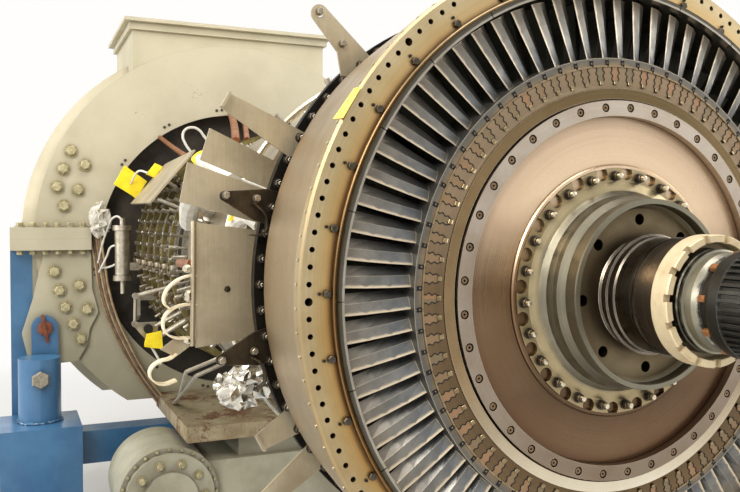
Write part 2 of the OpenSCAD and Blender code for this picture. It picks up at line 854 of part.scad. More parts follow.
// Solid of the intake's front plate outline, with its flat underside
module plate_blank(x0, x1, r) {
    intersection() {
        translate([0, 0, intake_rise])
            ring(x0, x1, 0, r);
        block([x1 - 1, -r - 1, -belly_drop], [x0 + 1, r + 1, intake_rise + r + 1]);
    }
}

module upper_half() {
    intersection() {
        children();
        block([rear_x, -2000, intake_rise], [0, 2000, 2000]);
    }
}

module lower_half() {
    intersection() {
        children();
        block([rear_x, -2000, -2000], [0, 2000, intake_rise]);
    }
}

module intake_front_plate() {
    difference() {
        plate_blank(plate_front_x, plate_back_x, intake_plate_r);
        ring(plate_back_x - 1, plate_front_x + 1, 0, intake_hole_r);
    }
}

module intake_plate_upper() {
    color("darkseagreen")
        upper_half()
            intake_front_plate();
}

module intake_plate_lower() {
    color("darkseagreen")
        lower_half()
            intake_front_plate();
}

// Solid inside the outer or, with a wall, the inner faces of the intake's shells
module shell_solid(wall) {
    intersection() {
        translate([0, 0, intake_rise])
            turned([[0, shell_back_x], [shell_rear_r - wall, shell_back_x],
                [shell_rear_r - wall, shell_step_x - wall], [shell_front_r - wall, shell_step_x - wall],
                [shell_front_r - wall, plate_back_x], [0, plate_back_x]]);
        block([shell_back_x - 1, -2000, -belly_drop + wall], [plate_back_x + 1, 2000, 2000]);
    }
}

hood_front_x = bulkhead_x - bulkhead_t - 10;
hood_back_x = hood_front_x - hood_l;
module hood_inside() {
    block([hood_back_x + hood_wall, -hood_w / 2 + hood_wall, intake_rise + 300],
        [hood_front_x - hood_wall, hood_w / 2 - hood_wall, hood_top + 1]);
}

module intake_shells() {
    difference() {
        shell_solid(0);
        shell_solid(shell_wall);
        hood_inside();
    }
}

module intake_shell_upper() {
    color("beige")
        upper_half()
            intake_shells();
}

module intake_shell_lower() {
    color("beige")
        lower_half()
            intake_shells();
}

split_front_x = plate_front_x + 80;
module split_flange(z0, z1) {
    difference() {
        block([shell_step_x, intake_plate_r + 123 - split_flange_w, z0],
            [split_front_x, intake_plate_r + 123, z1]);
        translate([0, 0, intake_rise])
            ring(shell_step_x - 1, plate_front_x, 0, intake_plate_r + seat);
    }
}

module split_flange_upper() {
    color("darkseagreen")
        both_sides()
            split_flange(intake_rise, intake_rise + split_flange_h / 2);
}

module split_flange_lower() {
    color("darkseagreen")
        both_sides()
            split_flange(intake_rise - split_flange_h / 2, intake_rise);
}

// Flared ring that leads the air from the intake into the compressor
module bellmouth() {
    mouth_l = 110;
    throat_r = compressor_r - 90;
    lip = 12;
    station(compressor_back_x - mouth_l)
        rotate_extrude()
            difference() {
                translate([throat_r, 0])
                    square([mouth_l + lip, mouth_l]);
                translate([throat_r, 0])
                    circle(r = mouth_l);
            }
}

module intake_bulkhead() {
    color("dimgray")
        difference() {
            intersection() {
                translate([0, 0, intake_rise])
                    ring(compressor_back_x, bulkhead_x, 0, shell_front_r - shell_wall - seat);
                block([compressor_back_x - 1, -2000, -belly_drop + shell_wall], [bulkhead_x + 1, 2000, 2000]);
            }
            ring(compressor_back_x - 1, bulkhead_x + 1, 0, compressor_radius(bulkhead_x) + seat);
        }
    color("lightgray")
        bellmouth();
}

module intake_back_plate() {
    cover_r = 420;
    color("beige") {
        plate_blank(shell_back_x, shell_back_x - back_plate_t, shell_rear_r);
        ring(rear_x, shell_back_x - back_plate_t + 1, 0, cover_r);
        ring(rear_x + 10, shell_back_x - back_plate_t + 1, 0, cover_r + 50);
    }
}

module inlet_hood() {
    $fn = 240;
    band_h = 62;
    band_w = 20;
    color("darkseagreen")
        difference() {
            union() {
                block([hood_back_x, -hood_w / 2, intake_rise + 300], [hood_front_x, hood_w / 2, hood_top]);
                block([hood_back_x - band_w, -hood_w / 2 - band_w, hood_top - band_h],
                    [hood_front_x + band_w, hood_w / 2 + band_w, hood_top]);
                block([hood_back_x - hood_flange_w, -hood_w / 2 - hood_flange_w, hood_top - hood_flange_t],
                    [hood_front_x + hood_flange_w, hood_w / 2 + hood_flange_w, hood_top]);
            }
            hood_inside();
            translate([0, 0, intake_rise]) {
                ring(shell_back_x - 1, plate_front_x, 0, shell_front_r + seat);
                ring(shell_back_x - 200, shell_step_x + seat, 0, shell_rear_r + seat);
            }
        }
}

bracket_plate_t = 24;
bracket_in_y = intake_hole_r + 46;
pin_y = bracket_in_y + side_bracket_w * 0.68;
pin_z = -side_bracket_drop * 2 / 3;

// Outline of a side bracket below its straight top, in shares of its width and drop
bracket_outline = [[0.84, 0.417], [1, 0.717], [0.926, 0.908], [0.669, 1], [0.211, 0.987], [0.057, 0.833],
    [0.029, 0.7], [-0.103, 0.55], [-0.011, 0.333]];
module side_brackets() {
    top_z = intake_rise - split_flange_h / 2;
    color("darkseagreen")
        both_sides()
            difference() {
                station(plate_front_x)
                    rotate([0, 0, 90])
                        linear_extrude(bracket_plate_t)
                            offset(r = 30, $fn = 32)
                                offset(delta = -30)
                                    polygon(concat(
                                        [[bracket_in_y, top_z],
                                            [bracket_in_y + side_bracket_w * 0.669, top_z]],
                                        [for (q = bracket_outline)
                                            [bracket_in_y + side_bracket_w * q[0],
                                                -side_bracket_drop * q[1]]]));
                station(plate_front_x - 1)
                    rotate([0, 0, 90])
                        translate([pin_y, pin_z, 0])
                            cylinder(r = lug_pin_r + seat, h = bracket_plate_t + 2);
            }
}

ledge_top_z = -belly_drop + 30;
module ledge() {
    color("darkseagreen")
        block([plate_front_x, -ledge_w / 2, ledge_top_z - ledge_h],
            [plate_front_x + ledge_l, ledge_w / 2, ledge_top_z]);
}

gear_front_x = plate_front_x + ledge_l - 20;
module gearbox_housing() {
    rim_t = 24;
    neck_w = 420;
    waist_h = 130;
    color("darkseagreen") {
        both_sides()
            translate([0, gear_side, -gear_drop])
                ring(gear_front_x - gear_l, gear_front_x, 0, gear_cover_r + rim_t);
        block([gear_front_x - gear_l, -gear_side, -gear_drop - waist_h],
            [gear_front_x - 40, gear_side, -gear_drop + waist_h]);
        block([gear_front_x - gear_l + 30, -neck_w / 2, -gear_drop],
            [gear_front_x - 80, neck_w / 2, ledge_top_z - ledge_h]);
    }
}

module gearbox_covers() {
    cover_t = 30;
    color("darkseagreen")
        both_sides()
            translate([0, gear_side, -gear_drop]) {
                ring(gear_front_x, gear_front_x + cover_t, 0, gear_cover_r);
                ring(gear_front_x + cover_t - 1, gear_front_x + cover_t + 26, 0, gear_cover_r * 0.6);
            }
}

column_back_x = plate_front_x + bracket_plate_t - 10;
column_top_z = -column_drop;
module stand_columns() {
    foot_reach = 25;
    color("steelblue")
        both_sides() {
            block([column_back_x, column_y - column_w / 2, -axis_h],
                [column_back_x + column_w, column_y + column_w / 2, column_top_z]);
            block([column_back_x - foot_reach, column_y - column_w / 2 - foot_reach, -axis_h],
                [column_back_x + column_w + foot_reach, column_y + column_w / 2 + foot_reach,
                    foot_t - axis_h]);
        }
}

lug_x = plate_front_x + bracket_plate_t + 4;
post_x = lug_x + lug_t + post_r + 12;
module stand_posts() {
    bolt_r = 42;
    color("steelblue")
        both_sides()
            translate([face_x + post_x, column_y, axis_h + column_top_z]) {
                cylinder(r = post_r, h = post_h);
                translate([post_r - 6, 0, post_h * 0.7])
                    rotate([0, 90, 0])
                        cylinder(r = bolt_r, h = 34, $fn = 6);
            }
}

module stand_lugs() {
    color("steelblue")
        both_sides() {
            difference() {
                union() {
                    block([lug_x, pin_y - lug_r, column_top_z], [lug_x + lug_t, pin_y + lug_r, pin_z]);
                    translate([0, pin_y, pin_z])
                        ring(lug_x, lug_x + lug_t, 0, lug_r);
                }
                translate([0, pin_y, pin_z])
                    ring(lug_x - 1, lug_x + lug_t + 1, 0, lug_pin_r + seat);
            }
            translate([0, pin_y, pin_z])
                ring(plate_front_x + seat, lug_x + lug_t + 14, 0, lug_pin_r);
        }
}

module stand_uprights() {
    upright_w = 110;
    upright_l = 120;
    y0 = intake_plate_r + 13;
    x0 = plate_back_x - 40 - upright_l;
    top_z = intake_rise - split_flange_h / 2;
    color("steelblue")
        both_sides() {
            block([x0, y0, -axis_h], [x0 + upright_l, y0 + upright_w, top_z]);
            block([x0 - 60, y0 - 60, -axis_h], [x0 + upright_l + 10, y0 + upright_w + 40, foot_t - axis_h]);
        }
}

cradle_x = (exhaust_back_x + casing_back_x) / 2;
module cross_beams() {
    beam_z = column_top_z - 70;
    inner_y = column_y - column_w / 2;
    color("steelblue") {
        block([column_back_x + 60, -inner_y, beam_z - beam_h],
            [column_back_x + 60 + beam_w, inner_y, beam_z]);
        block([cradle_x - beam_w / 2, -column_y + rail_w / 2, -axis_h],
            [cradle_x + beam_w / 2, column_y - rail_w / 2, rail_h - axis_h]);
    }
}

module bottom_rails() {
    upright_x = plate_back_x - 40;
    color("steelblue")
        both_sides() {
            block([column_back_x + column_w + 25, column_y - rail_w / 2, -axis_h],
                [cradle_x + beam_w / 2 + 60, column_y + rail_w / 2, rail_h - axis_h]);
            block([upright_x + 10, column_y - rail_w / 2, -axis_h],
                [column_back_x - 25, column_y + rail_w / 2, rail_h - axis_h]);
        }
}

module front_cradle() {
    saddle_l = casing_l - 140;
    saddle_in_r = casing_front_r + seat;
    saddle_out_r = saddle_in_r + saddle_t;
    reach = 2 * saddle_out_r;
    post_side = 330;
    post_w = 130;
    color("steelblue") {
        intersection() {
            difference() {
                ring(cradle_x - saddle_l / 2, cradle_x + saddle_l / 2, casing_rear_r - 8, saddle_out_r);
                turned([[0, exhaust_back_x], [casing_front_r + seat, exhaust_back_x],
                    [casing_rear_r + seat, casing_back_x], [0, casing_back_x]]);
            }
            station(cradle_x - saddle_l)
                linear_extrude(saddle_l * 2)
                    polygon([[0, 0], [reach * cos(saddle_angle), reach * sin(saddle_angle)],
                        [reach * cos(saddle_angle), -reach * sin(saddle_angle)]]);
        }
        both_sides()
            difference() {
                block([cradle_x - post_w / 2, post_side - post_w / 2, rail_h - axis_h],
                    [cradle_x + post_w / 2, post_side + post_w / 2, -saddle_in_r * 0.7]);
                ring(cradle_x - post_w, cradle_x + post_w, 0, saddle_out_r - 1);
            }
    }
}

turbine_disc();
turbine_blades();
blade_lip_ring();
cover_ring();
hub_flange();
shaft_sleeve();
lock_ring();
splined_shaft();
exhaust_flange();
shroud_ring();
turbine_casing();
nozzle_ring();
bearing_housing();
rear_flange();
turbine_frame();
radial_straps();
pipe_brackets();
heat_panels();
core_flanges();
combustor_casing();
compressor_casing();
vane_rings();
vane_levers();
actuator();
bell_crank();
intake_plate_upper();
intake_plate_lower();
split_flange_upper();
split_flange_lower();
intake_shell_upper();
intake_shell_lower();
intake_bulkhead();
intake_back_plate();
inlet_hood();
side_brackets();
ledge();
gearbox_housing();
gearbox_covers();
stand_columns();
stand_posts();
stand_lugs();
stand_uprights();
cross_beams();
bottom_rails();
front_cradle();
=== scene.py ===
import math

import bmesh
import bpy
from mathutils import Matrix, Vector


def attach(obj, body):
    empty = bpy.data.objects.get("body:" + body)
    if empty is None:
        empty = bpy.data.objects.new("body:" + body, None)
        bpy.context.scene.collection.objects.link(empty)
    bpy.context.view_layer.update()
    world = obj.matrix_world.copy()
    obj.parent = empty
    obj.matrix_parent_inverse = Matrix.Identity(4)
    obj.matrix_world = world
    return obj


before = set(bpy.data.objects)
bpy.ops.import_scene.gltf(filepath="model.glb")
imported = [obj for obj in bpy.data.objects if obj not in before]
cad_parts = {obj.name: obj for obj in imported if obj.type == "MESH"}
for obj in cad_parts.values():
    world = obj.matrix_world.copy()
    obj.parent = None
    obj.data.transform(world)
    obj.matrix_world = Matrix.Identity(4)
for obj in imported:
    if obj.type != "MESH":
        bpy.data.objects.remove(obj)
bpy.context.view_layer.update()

FACE_X = 1.8705      # station of the cover ring's front face
AXIS_Z = 1.45        # height of the rotor axis
MM = 0.001
FORWARD = (1, 0, 0)  # along the rotor axis, out of the cover ring's face
BLADES = 74

CAMERA_PLACE = Vector((3.2848, -1.2265, 1.5961))
CAMERA_TURN = Vector((-0.91517, 0.40221, -0.02638)).to_track_quat("-Z", "Y")
LENS, SENSOR = 39.84, 36.0
PICTURE_WIDTH, PICTURE_HEIGHT = 740, 492
FOCAL = LENS / SENSOR * PICTURE_WIDTH


# ---------------------------------------------------------------- places

def on_axis(station, radius, angle):
    """A point round the rotor axis: millimetres from the face, millimetres out, degrees from +Y."""
    a = math.radians(angle)
    return Vector((FACE_X + station * MM, radius * MM * math.cos(a), AXIS_Z + radius * MM * math.sin(a)))


def outward(angle):
    """The direction away from the rotor axis at an angle."""
    return on_axis(0, 1, angle) - on_axis(0, 0, 0)


def from_face(station, y, z):
    """A point given in millimetres from the cover ring's face and from the rotor axis."""
    return Vector((FACE_X + station * MM, y * MM, AXIS_Z + z * MM))


def facing(point, direction=FORWARD, roll=0.0):
    """The matrix that stands a part built along +Z at a point, looking along a direction."""
    turn = Vector(direction).to_track_quat("Z", "Y").to_matrix().to_4x4()
    return Matrix.Translation(point) @ turn @ Matrix.Rotation(math.radians(roll), 4, "Z")


def standing(station, radius, angle, roll=0.0):
    """The same for a part that points away from the rotor axis, as on a round casing."""
    return facing(on_axis(station, radius, angle), outward(angle), roll)


def round_the_axis(count, station, radius, first=0.0):
    """Places on a circle round the rotor axis: local X out, local Y round, local Z forward."""
    return [facing(on_axis(station, radius, angle), roll=angle)
            for angle in (first + i * 360 / count for i in range(count))]


def backward(places):
    """The same places with their parts turned to face back."""
    return [place @ Matrix.Rotation(math.pi, 4, "Y") for place in places]


def seen_at(u, v, station=None, radius=None):
    """The point the camera sees at a place of the picture, on a station or on a radius."""
    ray = CAMERA_TURN @ Vector(((u - PICTURE_WIDTH / 2) / FOCAL, (PICTURE_HEIGHT / 2 - v) / FOCAL, -1))
    if station is not None:
        return CAMERA_PLACE + ray * ((FACE_X + station * MM - CAMERA_PLACE.x) / ray.x)
    start = Vector((0, CAMERA_PLACE.y, CAMERA_PLACE.z - AXIS_Z))
    way = Vector((0, ray.y, ray.z))
    a, b, c = way.dot(way), start.dot(way), start.dot(start) - (radius * MM) ** 2
    return CAMERA_PLACE + ray * ((-b - math.sqrt(max(0.0, b * b - a * c))) / a)


def seen(places, station=None):
    """The points seen at several places, each (u, v) on the station given or (u, v, its own station)."""
    return [seen_at(u, v, own[0] if own else station) for u, v, *own in places]


def corners_of(name):
    """The corners of a CAD node's mesh."""
    return [v.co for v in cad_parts[name].data.vertices]


# ---------------------------------------------------------------- bench work

def clear_bench():
    if bpy.context.object and bpy.context.object.mode != "OBJECT":
        bpy.ops.object.mode_set(mode="OBJECT")
    bpy.ops.object.select_all(action="DESELECT")


def take(obj):
    clear_bench()
    obj.select_set(True)
    bpy.context.view_layer.objects.active = obj
    return obj


def into_scene(obj):
    bpy.context.scene.collection.objects.link(obj)
    return obj


def round_bar(radius, length, sides=16, low=0.0):
    """A cylinder along +Z that stands on the height low, all in metres."""
    clear_bench()
    bpy.ops.mesh.primitive_cylinder_add(vertices=sides, radius=radius, depth=length,
                                        location=(0, 0, low + length / 2))
    bpy.ops.object.transform_apply(location=True, rotation=True, scale=True)
    return bpy.context.object


def slab(low, high):
    """A box between two corners."""
    low, high = Vector(low), Vector(high)
    clear_bench()
    bpy.ops.mesh.primitive_cube_add(size=1, location=(low + high) / 2)
    obj = bpy.context.object
    obj.scale = high - low
    bpy.ops.object.transform_apply(location=True, rotation=True, scale=True)
    return obj


def torus(major, minor, rounds, sides, place):
    """A ring of round section at a place."""
    clear_bench()
    bpy.ops.mesh.primitive_torus_add(major_radius=major, minor_radius=minor, major_segments=rounds,
                                     minor_segments=sides)
    obj = bpy.context.object
    obj.data.transform(place)
    return obj


def pick(obj, wanted, kind="FACE"):
    """In edit mode, selects the faces that pass a test on middle and normal, or the corners that pass one on place."""
    if bpy.context.view_layer.objects.active is not obj or obj.mode != "EDIT":
        take(obj)
        bpy.ops.object.mode_set(mode="EDIT")
    bpy.ops.mesh.select_mode(type=kind)
    bpy.ops.mesh.select_all(action="DESELECT")
    work = bmesh.from_edit_mesh(obj.data)
    if kind == "FACE":
        for face in work.faces:
            face.select_set(bool(wanted(face.calc_center_median(), face.normal)))
    else:
        for vert in work.verts:
            vert.select_set(bool(wanted(vert.co)))
    work.select_flush_mode()
    bmesh.update_edit_mesh(obj.data)


def push(move):
    """Moves the picked face, with new sides behind it."""
    bpy.ops.mesh.extrude_region_move(TRANSFORM_OT_translate={"value": move})


def inset(width):
    bpy.ops.mesh.inset(thickness=width, use_even_offset=True)


def done(obj):
    if obj.mode == "EDIT":
        bpy.ops.object.mode_set(mode="OBJECT")
    return obj


def stepped(obj, *steps, edge=0.0, segments=1):
    """Insets the top face and moves it up, for each (inward, up) step, then bevels the rim of the last one."""
    high = max(v.co.z for v in obj.data.vertices)
    pick(obj, lambda middle, normal: middle.z > high - 1e-6 and normal.z > 0.9)
    for inward, up in steps:
        inset(inward)
        push((0, 0, up))
    if edge:
        bpy.ops.mesh.bevel(offset=edge, segments=segments, affect="EDGES")
    return done(obj)


def soften(obj, width, segments=2):
    """Rounds the edges of a finished piece with an applied Bevel."""
    take(obj)
    bevel = obj.modifiers.new("Edges", "BEVEL")
    bevel.width = width
    bevel.segments = segments
    bevel.limit_method = "ANGLE"
    bevel.angle_limit = math.radians(35)
    bpy.ops.object.modifier_apply(modifier=bevel.name)
    return obj


def thicken(obj, thickness):
    take(obj)
    sheet = obj.modifiers.new("Sheet", "SOLIDIFY")
    sheet.thickness = thickness
    sheet.offset = 0
    bpy.ops.object.modifier_apply(modifier=sheet.name)
    return obj


def weld_together(parts):
    clear_bench()
    for part in parts:
        part.select_set(True)
    bpy.context.view_layer.objects.active = parts[0]
    if len(parts) > 1:
        bpy.ops.object.join()
    return bpy.context.object


def copies(master, places):
    """Copies of a part modelled once, each with its own mesh, joined into one piece."""
    made = []
    for place in places:
        part = master.copy()
        part.data = master.data.copy()
        part.data.transform(place)
        made.append(into_scene(part))
    bpy.data.objects.remove(master)
    return weld_together(made)


def hand_over(obj, name, finish, body="machine", angle=35):
    """Names a finished piece, gives it its finish and sets it on its body."""
    take(done(obj))
    bpy.ops.object.shade_smooth_by_angle(angle=math.radians(angle))
    obj.name = name
    obj.data.name = name
    obj.data.materials.clear()
    obj.data.materials.append(finish)
    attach(obj, body)


def spread(master, places, name, finish, body="machine", angle=35):
    """Hands over copies of a part at all its places as one piece."""
    hand_over(copies(master, places), name, finish, body, angle)


def swept(points, rounded, **settings):
    """The mesh of a curve through points, with the curve's settings in the order given."""
    clear_bench()
    line = bpy.data.curves.new("line", "CURVE")
    for key, value in settings.items():
        setattr(line, key, value)
    line.resolution_u = 6
    spline = line.splines.new("BEZIER" if rounded else "POLY")
    knots = spline.bezier_points if rounded else spline.points
    knots.add(len(points) - 1)
    for knot, point in zip(knots, points):
        knot.co = point if rounded else (*point, 1)
        if rounded:
            knot.handle_left_type = knot.handle_right_type = "AUTO"
    take(into_scene(bpy.data.objects.new("line", line)))
    bpy.ops.object.convert(target="MESH")
    return bpy.context.object


def tube(points, radius, sides=8, round_corners=True):
    """A pipe along points in metres, made a mesh."""
    return swept(points, round_corners and len(points) > 2, dimensions="3D", bevel_depth=radius,
                 bevel_resolution=max(1, sides // 4), use_fill_caps=True)


def ribbon(points, width, thickness):
    """A bent strap whose line lies across the rotor axis and whose width lies along it."""
    obj = swept([(point.y, point.z, 0) for point in points], True, dimensions="2D", fill_mode="NONE",
                extrude=width / 2)
    middle = sum(point.x for point in points) / len(points)
    obj.data.transform(Matrix(((0, 0, 1, middle), (1, 0, 0, 0), (0, 1, 0, 0), (0, 0, 0, 1))))
    return thicken(obj, thickness)


def stay(point, radius, thick=0.006):
    """A straight stay from a piece down to the round casing under it."""
    middle = Vector((point.x, 0, AXIS_Z))
    return tube([point, middle + (point - middle).normalized() * radius], thick)


def plate(corners, thickness):
    """A flat sheet between four corners, taken in order round it."""
    clear_bench()
    bpy.ops.mesh.primitive_plane_add(size=2, location=(0, 0, 0))
    obj = bpy.context.object
    for here, there in zip(((-1, -1, 0), (1, -1, 0), (1, 1, 0), (-1, 1, 0)), corners):
        pick(obj, lambda place: (place - Vector(here)).length < 0.01, "VERT")
        bpy.ops.transform.translate(value=Vector(there) - Vector(here))
    return thicken(done(obj), thickness)


def crumple(obj, amount, cuts=2, seed=1):
    """Cuts a plain form finer and pushes its corners about, as foil or film is creased."""
    take(obj)
    bpy.ops.object.mode_set(mode="EDIT")
    bpy.ops.mesh.select_all(action="SELECT")
    bpy.ops.transform.vertex_random(offset=amount, uniform=0.8, normal=0.4, seed=seed)
    bpy.ops.mesh.subdivide(number_cuts=cuts, fractal=amount * 2, seed=seed)
    bpy.ops.transform.vertex_random(offset=amount / 4, uniform=0.8, normal=0.4, seed=seed)
    return done(obj)


# ---------------------------------------------------------------- node work

def shade(r, g, b):
    """A colour written as it shows on a screen, 0 to 255."""
    return tuple(((c / 255 + 0.055) / 1.055) ** 2.4 if c > 10 else c / 255 / 12.92 for c in (r, g, b)) + (1.0,)


def feed(tree, socket, value):
    """Links a value into a socket, or sets the socket to a plain value."""
    if isinstance(value, bpy.types.NodeSocket):
        tree.links.new(value, socket)
    else:
        socket.default_value = value


def node(tree, kind, wires=None, **settings):
    made = tree.nodes.new(kind)
    for key, value in settings.items():
        setattr(made, key, value)
    for key, value in (wires or {}).items():
        feed(tree, made.inputs[key], value)
    return made


def sums(tree, operation, a, b=None, clamp=False):
    wires = {0: a} if b is None else {0: a, 1: b}
    return node(tree, "ShaderNodeMath", wires, operation=operation, use_clamp=clamp).outputs[0]


def plus(tree, a, b, clamp=False):
    return sums(tree, "ADD", a, b, clamp)


def minus(tree, a, b):
    return sums(tree, "SUBTRACT", a, b)


def times(tree, a, b, clamp=False):
    return sums(tree, "MULTIPLY", a, b, clamp)


def vector_math(tree, operation, a, b=None):
    wires = {0: a} if b is None else {0: a, 1: b}
    return node(tree, "ShaderNodeVectorMath", wires, operation=operation).outputs


def blend_colours(tree, share, low, high, kind="MIX"):
    return node(tree, "ShaderNodeMix", {0: share, 6: low, 7: high}, data_type="RGBA", blend_type=kind).outputs[2]


def between(tree, value, low, high, out_low=0.0, out_high=1.0, kind="LINEAR"):
    wires = {0: value, 1: low, 2: high, 3: out_low, 4: out_high}
    return node(tree, "ShaderNodeMapRange", wires, interpolation_type=kind).outputs[0]


def object_place(tree):
    return node(tree, "ShaderNodeTexCoord").outputs["Object"]


def noise(tree, scale, detail, roughness=0.5, seed=None, place=None):
    """A noise over the object or over another place, with the seed, if any, as its fourth dimension."""
    wires = {"Vector": object_place(tree) if place is None else place,
             "Scale": scale, "Detail": detail, "Roughness": roughness}
    if seed is None:
        return node(tree, "ShaderNodeTexNoise", wires).outputs[0]
    return node(tree, "ShaderNodeTexNoise", {**wires, "W": seed}, noise_dimensions="4D").outputs[0]


def finer(tree, size):
    """The scale of a noise whose patches have this size."""
    return sums(tree, "DIVIDE", 1.0, size)


def bump(tree, strength, distance, height, normal=None):
    wires = {"Strength": strength, "Distance": distance, "Height": height}
    if normal is not None:
        wires["Normal"] = normal
    return node(tree, "ShaderNodeBump", wires).outputs[0]


def new_group(name, inputs, outputs):
    """A group with numbers as inputs, or a vector where no start value is given, and numbers as outputs."""
    tree = bpy.data.node_groups.new(name, "ShaderNodeTree")
    for label, start in inputs.items():
        kind = "NodeSocketVector" if start is None else "NodeSocketFloat"
        socket = tree.interface.new_socket(label, in_out="INPUT", socket_type=kind)
        if start is not None:
            socket.default_value = start
    for label in outputs:
        tree.interface.new_socket(label, in_out="OUTPUT", socket_type="NodeSocketFloat")
    return tree, tree.nodes.new("NodeGroupInput").outputs, tree.nodes.new("NodeGroupOutput").inputs


def use(tree, group, wires=None):
    return node(tree, "ShaderNodeGroup", wires, node_tree=group).outputs


def build_axis_place():
    """Radius, station and height in millimetres from the rotor axis and the face, and the angle round the axis."""
    tree, _, out = new_group("Place round the axis", {}, ("Radius", "Station", "Angle", "Height"))
    parts = node(tree, "ShaderNodeSeparateXYZ", {0: object_place(tree)}).outputs
    height = minus(tree, parts[2], AXIS_Z)
    flat = node(tree, "ShaderNodeCombineXYZ", {1: parts[1], 2: height}).outputs[0]
    metres = {"Radius": vector_math(tree, "LENGTH", flat)["Value"], "Station": minus(tree, parts[0], FACE_X),
              "Height": height}
    for label, value in metres.items():
        tree.links.new(times(tree, value, 1000.0), out[label])
    tree.links.new(sums(tree, "ARCTAN2", height, parts[1]), out["Angle"])
    return tree


def build_clouds():
    """Soft uneven patches, such as heat, stain or thin paint."""
    tree, given, out = new_group("Clouds", {"Size": 0.1, "Share": 0.5, "Softness": 0.15, "Seed": 0.0}, ("Mask",))
    value = noise(tree, finer(tree, given["Size"]), 5.0, 0.6, given["Seed"])
    middle = minus(tree, 1.0, given["Share"])
    low, high = minus(tree, middle, given["Softness"]), plus(tree, middle, given["Softness"])
    tree.links.new(between(tree, value, low, high, kind="SMOOTHSTEP"), out["Mask"])
    return tree


def build_turned_marks():
    """Fine rings left by turning on a lathe."""
    tree, given, out = new_group("Turned marks", {"Fineness": 1.0}, ("Value",))
    drift = 0.7      # how far the noise changes along one ring
    axis = use(tree, AXIS_PLACE)
    way = plus(tree, axis["Radius"], times(tree, axis["Station"], 0.83))
    rings = node(tree, "ShaderNodeCombineXYZ", {
        0: times(tree, way, given["Fineness"]), 1: times(tree, sums(tree, "COSINE", axis["Angle"]), drift),
        2: times(tree, sums(tree, "SINE", axis["Angle"]), drift)}).outputs[0]
    tree.links.new(noise(tree, 1.0, 3.0, 0.65, place=rings), out["Value"])
    return tree


def build_brushed():
    """Fine scratches along one direction, on plates."""
    tree, given, out = new_group("Brushed", {"Stretch": None}, ("Value",))
    stretched = vector_math(tree, "MULTIPLY", object_place(tree), given["Stretch"])[0]
    tree.links.new(noise(tree, 1.0, 4.0, 0.6, place=stretched), out["Value"])
    return tree


def build_edge_wear():
    """Edges of a piece: worn bare, holding a dark line, and on the blades a painted highlight."""
    tree, given, out = new_group("Edge wear", {"Width": 0.002, "Breakup": 0.5, "Size": 0.02}, ("Mask",))
    rounded = node(tree, "ShaderNodeBevel", {"Radius": given["Width"]}, samples=4).outputs[0]
    flat = node(tree, "ShaderNodeNewGeometry").outputs["Normal"]
    edge = between(tree, vector_math(tree, "DOT_PRODUCT", rounded, flat)["Value"], 0.995, 0.86)
    speckle = noise(tree, finer(tree, given["Size"]), 4.0)
    cut = times(tree, minus(tree, speckle, 0.42), 6.0, clamp=True)
    kept = plus(tree, times(tree, cut, given["Breakup"]), minus(tree, 1.0, given["Breakup"]))
    tree.links.new(times(tree, edge, kept, clamp=True), out["Mask"])
    return tree


def build_corner_dirt():
    """Darkening where surfaces meet and close a point in: painted shade, together with the soiling that gathers there.
    """
    tree, given, out = new_group("Corner dirt", {"Reach": 0.02, "Amount": 0.8}, ("Mask",))
    free = node(tree, "ShaderNodeAmbientOcclusion", {"Distance": given["Reach"]}, samples=4).outputs["AO"]
    tree.links.new(times(tree, minus(tree, 1.0, free), given["Amount"], clamp=True), out["Mask"])
    return tree


def build_rust():
    """Blooms of rust with speckled borders."""
    tree, given, out = new_group("Rust blooms", {"Size": 0.15, "Share": 0.3, "Seed": 0.0}, ("Mask", "Depth"))
    wide = noise(tree, finer(tree, given["Size"]), 6.0, 0.7, given["Seed"])
    fine = noise(tree, 90.0, 3.0)
    mixed = plus(tree, wide, times(tree, minus(tree, fine, 0.5), 0.22))
    start = minus(tree, 1.0, given["Share"])
    tree.links.new(between(tree, mixed, start, plus(tree, start, 0.09), kind="SMOOTHSTEP"), out["Mask"])
    tree.links.new(fine, out["Depth"])
    return tree


def build_pits():
    """The fine unevenness of cast, rolled or sprayed surfaces, as a height."""
    tree, given, out = new_group("Surface pits", {"Size": 0.004, "Waves": 0.3}, ("Height",))
    fine = noise(tree, finer(tree, given["Size"]), 2.0)
    tree.links.new(plus(tree, fine, times(tree, noise(tree, 14.0, 2.0), given["Waves"])), out["Height"])
    return tree


AXIS_PLACE = build_axis_place()
CLOUDS = build_clouds()
TURNED = build_turned_marks()
BRUSHED = build_brushed()
EDGE_WEAR_AND_HIGHLIGHT = build_edge_wear()
CORNER_GRIME_AND_SHADE = build_corner_dirt()
RUST = build_rust()
PITS = build_pits()
BRUSH_STRETCH = {"x": (8, 700, 700), "z": (700, 700, 8)}
MARKS, FINE_MARKS = 0.00003, 0.00002      # depths of tool marks


